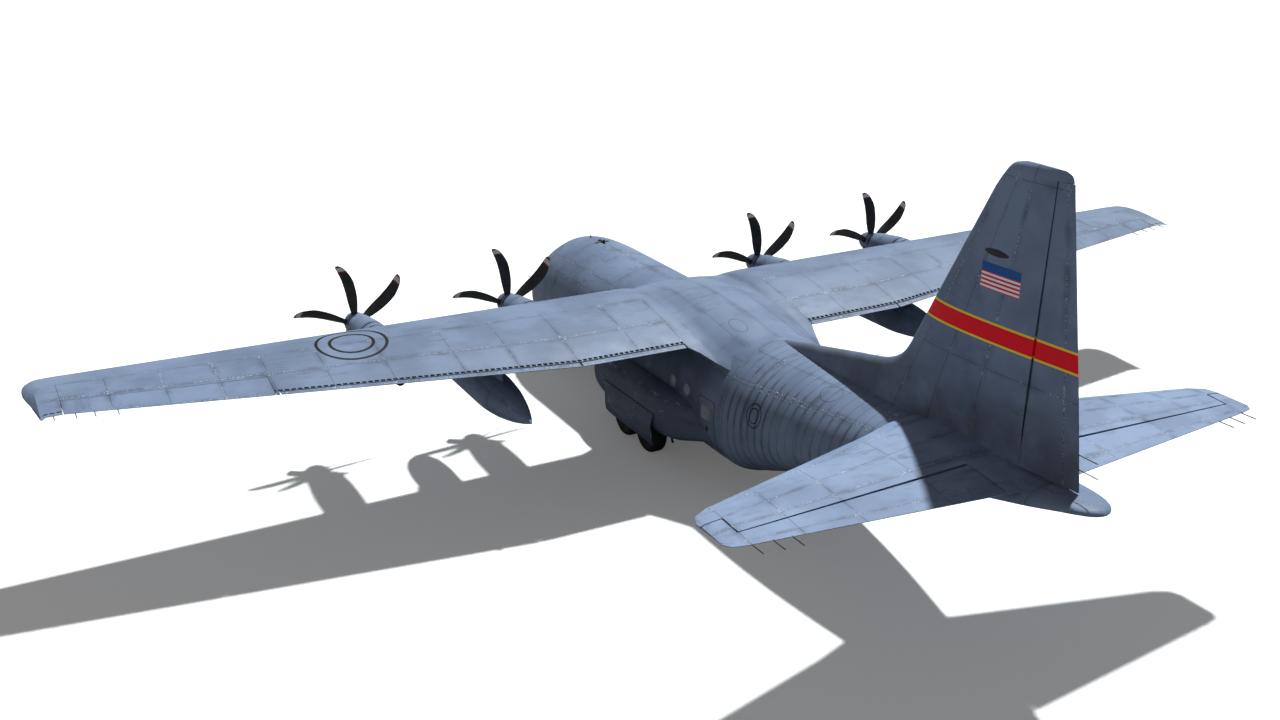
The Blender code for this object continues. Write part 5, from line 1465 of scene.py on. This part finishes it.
def make_tanks(wing_tool):
    stations = 8.72 + 7.18 * (1 - np.cos(np.linspace(0, math.pi, 60))) / 2
    profile = [(float(tank(s)[0]), s) for s in stations]
    profile[0], profile[-1] = (0.0, 8.72), (0.0, 15.90)
    body = turned(profile, "Y", (TANK_X, 0.0, TANK_Z), 56)
    pylon_plan = Table(((10.35, 0.005), (10.45, 0.06), (10.75, 0.115), (11.40, 0.15), (12.80, 0.13),
                        (13.55, 0.06), (13.80, 0.01)))
    keys = np.linspace(10.35, 13.80, 40)
    widths = pylon_plan(keys)[:, 0]
    rings = []
    for z in (TANK_Z + 0.2, 3.9, 4.5):
        spread = 1.0 + 0.25 * (z - 3.9) ** 2
        x = np.concatenate([TANK_X + widths * spread, (TANK_X - widths * spread)[::-1]])
        rings.append(stack(x, np.concatenate([keys, keys[::-1]]), z))
    pylon = cut(loft(rings), body.copy(), wing_tool)

    def tank_panel(x, station, z):
        return station, np.arctan2(np.abs(np.abs(x) - TANK_X), z - TANK_Z) * 0.6
    for name, mesh in (("external_tank", body), ("tank_pylon", pylon)):
        pair(name + "_skin_{}", mesh, "root", [paint_small], [name + "_{}"], tank_panel)


def sponson_panel(x, station, z):
    return station, z


def make_sponsons(hull):
    angle = around(72)
    rings = []
    for station in stops(SPONSON, *SPONSON_ENDS, 0.2):
        outer, top, bottom = sponson(station)
        width, rise = outer - SPONSON_ROOT_X, (top - bottom) / 2
        rings.append(stack(SPONSON_ROOT_X + width * signed_power(np.cos(angle), SPONSON_POWER), station,
                           bottom + rise + rise * signed_power(np.sin(angle), SPONSON_POWER)))
    mesh = cut(loft(rings), hull, box(*WELL, index=1))
    # The sponsons' paint is at half tone: painted shade, for their place under the wing.
    paint = painted("sponson_shaded_paint", (9.7, 11.4, 13.1, 14.7), (1.30, 2.05, 2.45), tone=0.50)
    heights = np.linspace(0.0, 1.0, 22)
    profile = Table([(k / 4, x, z) for k, (x, z) in enumerate(GEAR_DOOR_PROFILE)])(heights)
    start, end = GEAR_DOOR_STATIONS
    stations = start + (end - start) * np.linspace(0.0, 1.0, 40)

    def face(inset):
        rows = []
        for station in stations:
            fade = min(max((station - start) / 0.75, 0.0), 1.0)
            bulge = math.sin(fade * math.pi / 2) ** 0.8
            x = 2.70 + (profile[:, 0] - 2.70) * (0.35 + 0.65 * bulge) - inset
            x = np.where(heights < 0.02, profile[:, 0] - inset, x)
            rows.append(stack(x, station, profile[:, 1]))
        return np.array(rows)
    door = plate(face(0.0), face(GEAR_DOOR_THICKNESS))
    pair("sponson_skin_{}", mesh, "root", [paint, primer], ["gear_sponson_{}"],
         sponson_panel)
    pair("gear_door_skin_{}", door, "root", [paint, primer], ["main_gear_door_{}"],
         sponson_panel)


def tyre_profile(radius, half):
    """Closed outline of a tyre with tread grooves, round from bead to bead."""
    wall = [(0.50, 0.66), (0.56, 0.86), (0.66, 0.98), (0.76, 1.0), (0.86, 0.96), (0.93, 0.86),
            (0.97, 0.74), (0.99, 0.62)]
    tread = []
    for place in (0.46, 0.15, -0.15, -0.46):
        tread += [(1.0, place + 0.045), (0.975, place + 0.035), (0.975, place - 0.035),
                  (1.0, place - 0.045)]
    outline = wall + tread + [(r, -a) for r, a in reversed(wall)] + [(0.52, -0.5), (0.52, 0.5)]
    return [(r * radius, a * half) for r, a in outline]


def wheel_hub(radius, half, bore):
    """Cast hub: two dished rims, a web with a bolt circle and a cap."""
    r = radius
    profile = [(bore, -0.55 * half), (0.20 * r, -0.55 * half), (0.24 * r, -0.40 * half),
               (0.40 * r, -0.42 * half), (0.47 * r, -0.62 * half), (0.525 * r, -0.70 * half),
               (0.54 * r, -0.66 * half), (0.52 * r, -0.50 * half), (0.52 * r, 0.50 * half),
               (0.54 * r, 0.66 * half), (0.525 * r, 0.70 * half), (0.47 * r, 0.62 * half),
               (0.40 * r, 0.42 * half), (0.24 * r, 0.40 * half), (0.20 * r, 0.55 * half),
               (bore, 0.55 * half)]
    hub = turned(profile, "X", sides=64)
    parts = [hub]
    for k in range(12):
        turn = 2 * math.pi * k / 12
        spot = (0.32 * r * math.cos(turn), 0.32 * r * math.sin(turn))
        parts.append(tubes([(0.018, ((-0.46 * half, *spot), (0.46 * half, *spot)))], 1))
    parts.append(turned(((0.0, 0.62 * half), (0.10 * r, 0.62 * half), (0.13 * r, 0.57 * half),
                         (0.13 * r, 0.52 * half), (0.0, 0.52 * half)), "X", sides=32))
    return join(*parts)


def make_main_gear():
    half = MAIN_WIDTH / 2
    tyre = turned(tyre_profile(MAIN_RADIUS, half), "X", sides=96)
    hub = wheel_hub(MAIN_RADIUS, half, AXLE_TUBE + GAP)
    for where, axle in MAIN_AXLES:
        for side, sign in SIDES:
            place = Matrix.Translation((sign * WHEEL_X, axle, MAIN_RADIUS))
            if sign < 0:
                place = place @ Matrix.Diagonal((-1, 1, 1, 1))
            body = f"main_wheel_{where}_{side}"
            piece("tyre_" + where + "_" + side, moved(tyre, place), body, [tyre_rubber], [body],
                  sharp=50)
            piece("hub_" + where + "_" + side, moved(hub, place), body, [hub_paint])
        z = MAIN_RADIUS
        strut = tubes([
            (AXLE_TUBE, ((2.12, axle, 1.62), (2.12, axle, 1.64), (1.845, axle, 1.32),
                         (1.845, axle, 0.95), (1.845, axle, z), (2.40, axle, z))),
            (0.075, ((1.845, axle, 1.25), (1.845, axle, 0.98))),
            (0.088, ((1.845, axle, 1.00), (1.845, axle, 0.965))),
            (0.088, ((1.845, axle, 1.26), (1.845, axle, 1.235))),
            (0.085, ((1.76, axle, z), (1.93, axle, z))),
            (0.012, ((1.78, axle + 0.05, 1.30), (1.77, axle + 0.08, 1.05), (1.80, axle + 0.10, 0.84),
                     (1.88, axle + 0.07, 0.78)))], 6)
        links = []
        for y in (-0.11, -0.13):
            links.append(box((1.815, axle + y - 0.012, 0.76), (1.875, axle + y + 0.012, 1.02), 0.01,
                             segments=2))
        brake = turned(((AXLE_TUBE + 0.002, -0.255), (0.24, -0.255), (0.26, -0.235), (0.26, -0.165),
                        (0.24, -0.150), (AXLE_TUBE + 0.002, -0.150)), "X", (WHEEL_X, axle, z), 48,
                       index=1)
        pair(f"leg_{where}_{{}}", join(strut, brake, *links), "root",
             [gear_steel, dark_metal], [f"main_leg_{where}_{{}}"])
    strut = tubes([(0.035, ((2.25, 14.55, 1.25), (2.28, 14.60, 0.99), (2.30, 14.70, 0.95)))], 4)
    piece("tail_bumper_struts", both(strut), "root", [dark_metal])


def make_nose_gear():
    z, y = NOSE_RADIUS, NOSE_AXLE
    upper = join(
        tubes([(0.12, ((0, y, 0.902), (0, y, 1.94))), (0.132, ((0, y, 0.902), (0, y, 0.95))),
               (0.05, ((0, y, 1.15), (0.0, y - 0.52, 1.62))),
               (0.03, ((0.16, y, 1.2), (0.16, y - 0.30, 1.55))),
               (0.03, ((-0.16, y, 1.2), (-0.16, y - 0.30, 1.55)))], 6),
        box((-0.20, y - 0.06, 1.14), (0.20, y + 0.06, 1.26), 0.02))
    piece("nose_strut_cylinder", upper, "root", [hub_paint], ["nose_strut"])
    leg = join(
        tubes([(0.062, ((0, y, z + 0.02), (0, y, 0.898))), (0.085, ((0, y, 0.86), (0, y, 0.898))),
               (0.085, ((0, y, z + 0.05), (0, y, z + 0.13)))], 6),
        turned(((AXLE_TUBE + 0.004, -0.10), (0.125, -0.10), (0.125, 0.10), (AXLE_TUBE + 0.004, 0.10)), "X",
               (0, y, z), 40),
        box((-0.035, y + 0.07, z + 0.06), (0.035, y + 0.20, z + 0.10), 0.012, segments=2),
        tubes([(0.018, ((-0.03, y + 0.19, z + 0.08), (0, y + 0.26, 0.72), (-0.03, y + 0.09, 0.87))),
               (0.018, ((0.03, y + 0.19, z + 0.08), (0, y + 0.26, 0.72), (0.03, y + 0.09, 0.87)))], 3),
        tubes([(0.01, ((0.07, y - 0.04, 0.88), (0.09, y - 0.05, 0.72), (0.05, y - 0.09, z + 0.10)))], 3))
    piece("nose_leg_fork", leg, "nose_steering", [gear_steel], ["nose_leg"])
    lamp = join(
        turned(((0.0, -0.07), (0.04, -0.065), (0.075, -0.03), (0.085, 0.0), (0.085, 0.02), (0.075, 0.02),
                (0.0, 0.0)), "Y", (0, 0, 0), 32),
        turned(((0.0, 0.002), (0.075, 0.002), (0.075, 0.012), (0.0, 0.016)), "Y", (0, 0, 0), 32, index=1))
    lamp = moved(lamp, Matrix.Translation((0, y - 0.14, 0.82)) @ Matrix.Rotation(math.pi, 4, "Z"))
    piece("taxi_lamp", join(lamp, tubes([(0.015, ((0, y - 0.05, 0.82), (0, y - 0.10, 0.82)))], 3)),
          "nose_steering", [dark_metal, lamp_glass])
    half = 0.115
    tyre = turned(tyre_profile(z, half), "X", sides=80)
    hub = wheel_hub(z, half, 0.05)
    tyres, hubs = [], [tubes([(0.05, ((-0.36, y, z), (0.36, y, z)))], 5)]
    for sign in (1, -1):
        place = Matrix.Translation((sign * NOSE_WHEEL_X, y, z)) @ Matrix.Diagonal((sign, 1, 1, 1))
        tyres.append(moved(tyre, place))
        hubs.append(moved(hub, place))
    piece("nose_tyres", join(*tyres), "nose_wheels", [tyre_rubber], ["nose_wheels"], sharp=50)
    piece("nose_hubs", join(*hubs), "nose_wheels", [hub_paint])
    start, end = NOSE_BAY[0][1] + 0.04, NOSE_BAY[1][1] - 0.04
    for side, sign in SIDES:
        low, high = sorted((sign * 0.668, sign * 0.6988))
        door = [box((low, start, 0.50), (high, end, 1.12), 0.012)]
        for station in (start + 0.25, (start + end) / 2, end - 0.25):
            rib = sorted((sign * 0.64, sign * 0.669))
            door.append(box((rib[0], station - 0.015, 0.56), (rib[1], station + 0.015, 1.10), 0.004,
                            index=1, segments=1))
        piece("nose_gear_door_skin_" + side, join(*door), "root", [paint_small, primer],
              ["nose_gear_door_" + side], sponson_panel)


def make_details():
    """Antennas, probes, wicks, lights and scoops."""
    roof = [box((-0.05, 5.02, 4.76), (0.05, 5.40, 4.84), 0.03),
            box((-0.26, 5.17, 4.765), (0.26, 5.25, 4.80), 0.012),
            box((-0.04, 4.95, 4.765), (0.04, 5.47, 4.80), 0.012)]
    fins = []
    for x, station, base, tip, chord in ((0.0, 5.24, 4.80, 4.90, 0.24), (0.0, 4.17, 4.70, 4.80, 0.18),
                                         (0.0, 6.9, 0.74, 0.42, 0.30), (0.25, 9.6, 0.75, 0.50, 0.22),
                                         (-0.25, 16.2, 0.75, 0.50, 0.22), (0.0, 1.6, 3.30, 3.48, 0.16)):
        rings = []
        for share in (0.0, 0.5, 0.9, 1.0):
            z = base + (tip - base) * share
            length = chord * (1 - 0.45 * share) * (0.85 if share == 1.0 else 1.0)
            lead = station + 0.35 * chord * share
            ring = foil_ring(lead, lead + length, lead + length, 0.14, upright(z))
            rings.append(ring + np.array((x, 0, 0)))
        fins.append(loft(rings))
    piece("roof_antenna", join(*roof), "root", [frame_black])
    piece("blade_antennas", join(*fins), "root", [frame_black])
    probes = []
    for z, station in ((2.62, 1.62), (2.40, 1.62)):
        x = skin_x(station, z)
        probes.append((0.014, ((x - 0.02, station, z), (x + 0.10, station - 0.02, z),
                               (x + 0.13, station - 0.05, z), (x + 0.13, station - 0.34, z))))
    piece("pitot_probes", both(tubes(probes, 3)), "root", [dark_metal])
    rods = {"root": [], "aileron": [], "elevator": [], "rudder": []}
    end = wing_point(19.62, 1.0, 0.5)[0]
    rods["root"].append((WICK, (end - (0, 0.03, 0), end + (0.0, 0.24, -0.02))))
    for x in (18.1, 18.65, 19.1):
        end = wing_point(x, 1.0, 0.5)[0]
        rods["aileron"].append((WICK, (end - (0, 0.03, 0), end + (0.0, 0.26, -0.03))))
    for x, station in ((6.5, 27.30), (6.95, 27.25), (7.45, 27.19)):
        rods["elevator"].append((WICK, ((x, station - 0.05, TAIL_Z), (x, station + 0.45, TAIL_Z))))
    for z in (5.40, 5.74):
        edge = float(rudder(z)[1])
        rods["rudder"].append((0.012, ((0, edge - 0.05, z), (0, edge + 0.56, z))))
    piece("wing_wicks", both(tubes(rods["root"], 1)), "root", [dark_metal])
    for kind in ("aileron", "elevator"):
        pair(kind + "_wicks_{}", tubes(rods[kind], 1), kind + "_{}", [dark_metal])
    piece("rudder_wicks", tubes(rods["rudder"], 1), "rudder", [dark_metal])
    station, z = 25.42, 9.64
    half = float(fin(z)[3]) / 2 * 0.86
    rings = []
    for k in np.linspace(0.0, 1.0, 16):
        size = 0.075 * math.sin(math.pi * k) ** 0.6 + 0.002
        rings.append(oval(half - 0.01, station + 0.90 * k, z, size, 1.3 * size, 16))
    piece("fin_scoops", both(loft(rings)), "root", [frame_black])
    x = skin_x(16.45, 2.08)
    vent = turned(((0.0, 0.03), (0.04, 0.028), (0.065, 0.01), (0.075, -0.02), (0.0, -0.02)), "X",
                  (0, 0, 0), 28)
    vent = moved(vent, Matrix.Translation((x, 16.45, 2.08)) @ Matrix.Diagonal((1, 0.8, 1.5, 1)))
    piece("side_vents", both(vent), "root", [frame_black])
    dome = ((0.0, 0.10), (0.045, 0.085), (0.07, 0.05), (0.078, 0.0), (0.078, -0.02), (0.0, -0.02))
    beacon = moved(turned(dome, "Z", (0, 0, 0), 28),
                   Matrix.Translation((0, 12.2, 0.725)) @ Matrix.Rotation(math.pi, 4, "X"))
    piece("belly_beacon", beacon, "root", [lamp_red])
    for side, sign, glass in (("port", 1, lamp_red), ("starboard", -1, lamp_green)):
        spot = wing_point(20.0, 0.06, 0.5)[0]
        lens = turned(((0.0, -0.10), (0.035, -0.08), (0.05, 0.0), (0.035, 0.10), (0.0, 0.14)), "Y",
                      (0, 0, 0), 24)
        lens = moved(lens, Matrix.Translation((sign * (spot[0] + 0.02), spot[1] + 0.05, spot[2])))
        piece("tip_light_" + side, lens, "root", [glass])


def add_camera():
    """Camera at the photograph's place: behind, above and to port."""
    yaw, pitch, roll = 0.488, -0.361, -0.002
    forward = Vector((-math.sin(yaw) * math.cos(pitch), -math.cos(yaw) * math.cos(pitch), math.sin(pitch)))
    right = forward.cross(Vector((0, 0, 1))).normalized()
    up = right.cross(forward)
    right, up = (math.cos(roll) * right + math.sin(roll) * up,
                 -math.sin(roll) * right + math.cos(roll) * up)
    camera = bpy.data.objects.new("camera", bpy.data.cameras.new("camera"))
    camera.data.sensor_width = 36.0
    camera.data.lens = 37.90
    camera.data.clip_end = 600.0
    place = Vector((21.234, 48.184 - LENGTH / 2, 18.217)) * SCALE
    turn = Matrix((right, up, -forward)).transposed().to_4x4()
    camera.matrix_world = Matrix.Translation(place) @ turn
    bpy.context.scene.collection.objects.link(camera)
    bpy.context.scene.camera = camera


SKY_ZENITH = 0.095
SKY_HORIZON = 0.70
SKY_GLOSS = 0.25


def add_stage():
    """White ground, a hard sun from ahead and to starboard, and a weak sky, brighter low down."""
    scene = bpy.context.scene
    n = Nodes("ground")
    path = n.add("ShaderNodeLightPath").outputs["Is Camera Ray"]
    n.finish(n.mix(path, (0.22, 0.22, 0.22), (1.0, 1.0, 1.0)), 0.9)
    n.shader.inputs["Specular IOR Level"].default_value = 0.0
    n.shader.inputs["Emission Color"].default_value = (1.0, 1.0, 1.0, 1.0)
    n.plug(n.times(path, 0.09), n.shader.inputs["Emission Strength"])
    half = 300.0
    mesh = bpy.data.meshes.new("ground")
    mesh.from_pydata([(-half, -half, 0), (half, -half, 0), (half, half, 0), (-half, half, 0)], [],
                     [(0, 1, 2, 3)])
    mesh.materials.append(n.material)
    ground = bpy.data.objects.new("ground", mesh)
    scene.collection.objects.link(ground)
    sun = bpy.data.objects.new("sun", bpy.data.lights.new("sun", "SUN"))
    sun.data.energy = 4.6
    sun.data.angle = math.radians(2.2)
    sun.data.color = (0.95, 1.01, 1.0)
    sun.rotation_euler = Vector((0.50, 0.38, -1.0)).to_track_quat("-Z", "Y").to_euler()
    scene.collection.objects.link(sun)
    world = bpy.data.worlds.new("sky")
    world.use_nodes = True
    nodes, links = world.node_tree.nodes, world.node_tree.links
    background = nodes["Background"]

    def math_node(operation, *values):
        node = nodes.new("ShaderNodeMath")
        node.operation = operation
        for value, socket in zip(values, node.inputs):
            if isinstance(value, bpy.types.NodeSocket):
                links.new(value, socket)
            else:
                socket.default_value = value
        return node.outputs[0]
    split = nodes.new("ShaderNodeSeparateXYZ")
    links.new(nodes.new("ShaderNodeTexCoord").outputs["Generated"], split.inputs[0])
    height = math_node("MAXIMUM", split.outputs["Z"], 0.0)
    glow = math_node("POWER", math_node("SUBTRACT", 1.0, height), 3.0)
    sky = math_node("MULTIPLY_ADD", glow, SKY_HORIZON, SKY_ZENITH)
    path = nodes.new("ShaderNodeLightPath")
    plain_sky = math_node("MAXIMUM", path.outputs["Is Camera Ray"],
                          math_node("MULTIPLY", path.outputs["Is Glossy Ray"], SKY_GLOSS))
    seen = math_node("MAXIMUM", path.outputs["Is Camera Ray"], path.outputs["Is Glossy Ray"])
    strength = math_node("ADD", plain_sky, math_node("MULTIPLY", sky, math_node("SUBTRACT", 1.0, seen)))
    links.new(strength, background.inputs["Strength"])
    background.inputs["Color"].default_value = (1.0, 1.0, 1.0, 1.0)
    scene.world = world
    scene.view_settings.view_transform = "Standard"


add_camera()
add_stage()
tail_shape = tail_solid()
wing_shape = wing_solid([key for key in WING_STOPS if key < 16.0], plain_edge=True)
hull_shape = loft(list(hull_rings(5.60, 29.50, 0.0, 0.4)))
make_wing()
make_flaps()
make_ailerons()
make_tail()
make_fin(hull_shape, tail_shape)
make_radome_and_tail(tail_shape)
make_nose()
make_centre(wing_shape)
make_aft(tail_shape)
make_cargo_doors()
make_side_doors()
make_windows()
make_interior()
make_flight_deck()
make_engines(wing_shape)
make_propellers()
make_tanks(wing_shape)
make_sponsons(hull_shape)
make_main_gear()
make_nose_gear()
make_details()
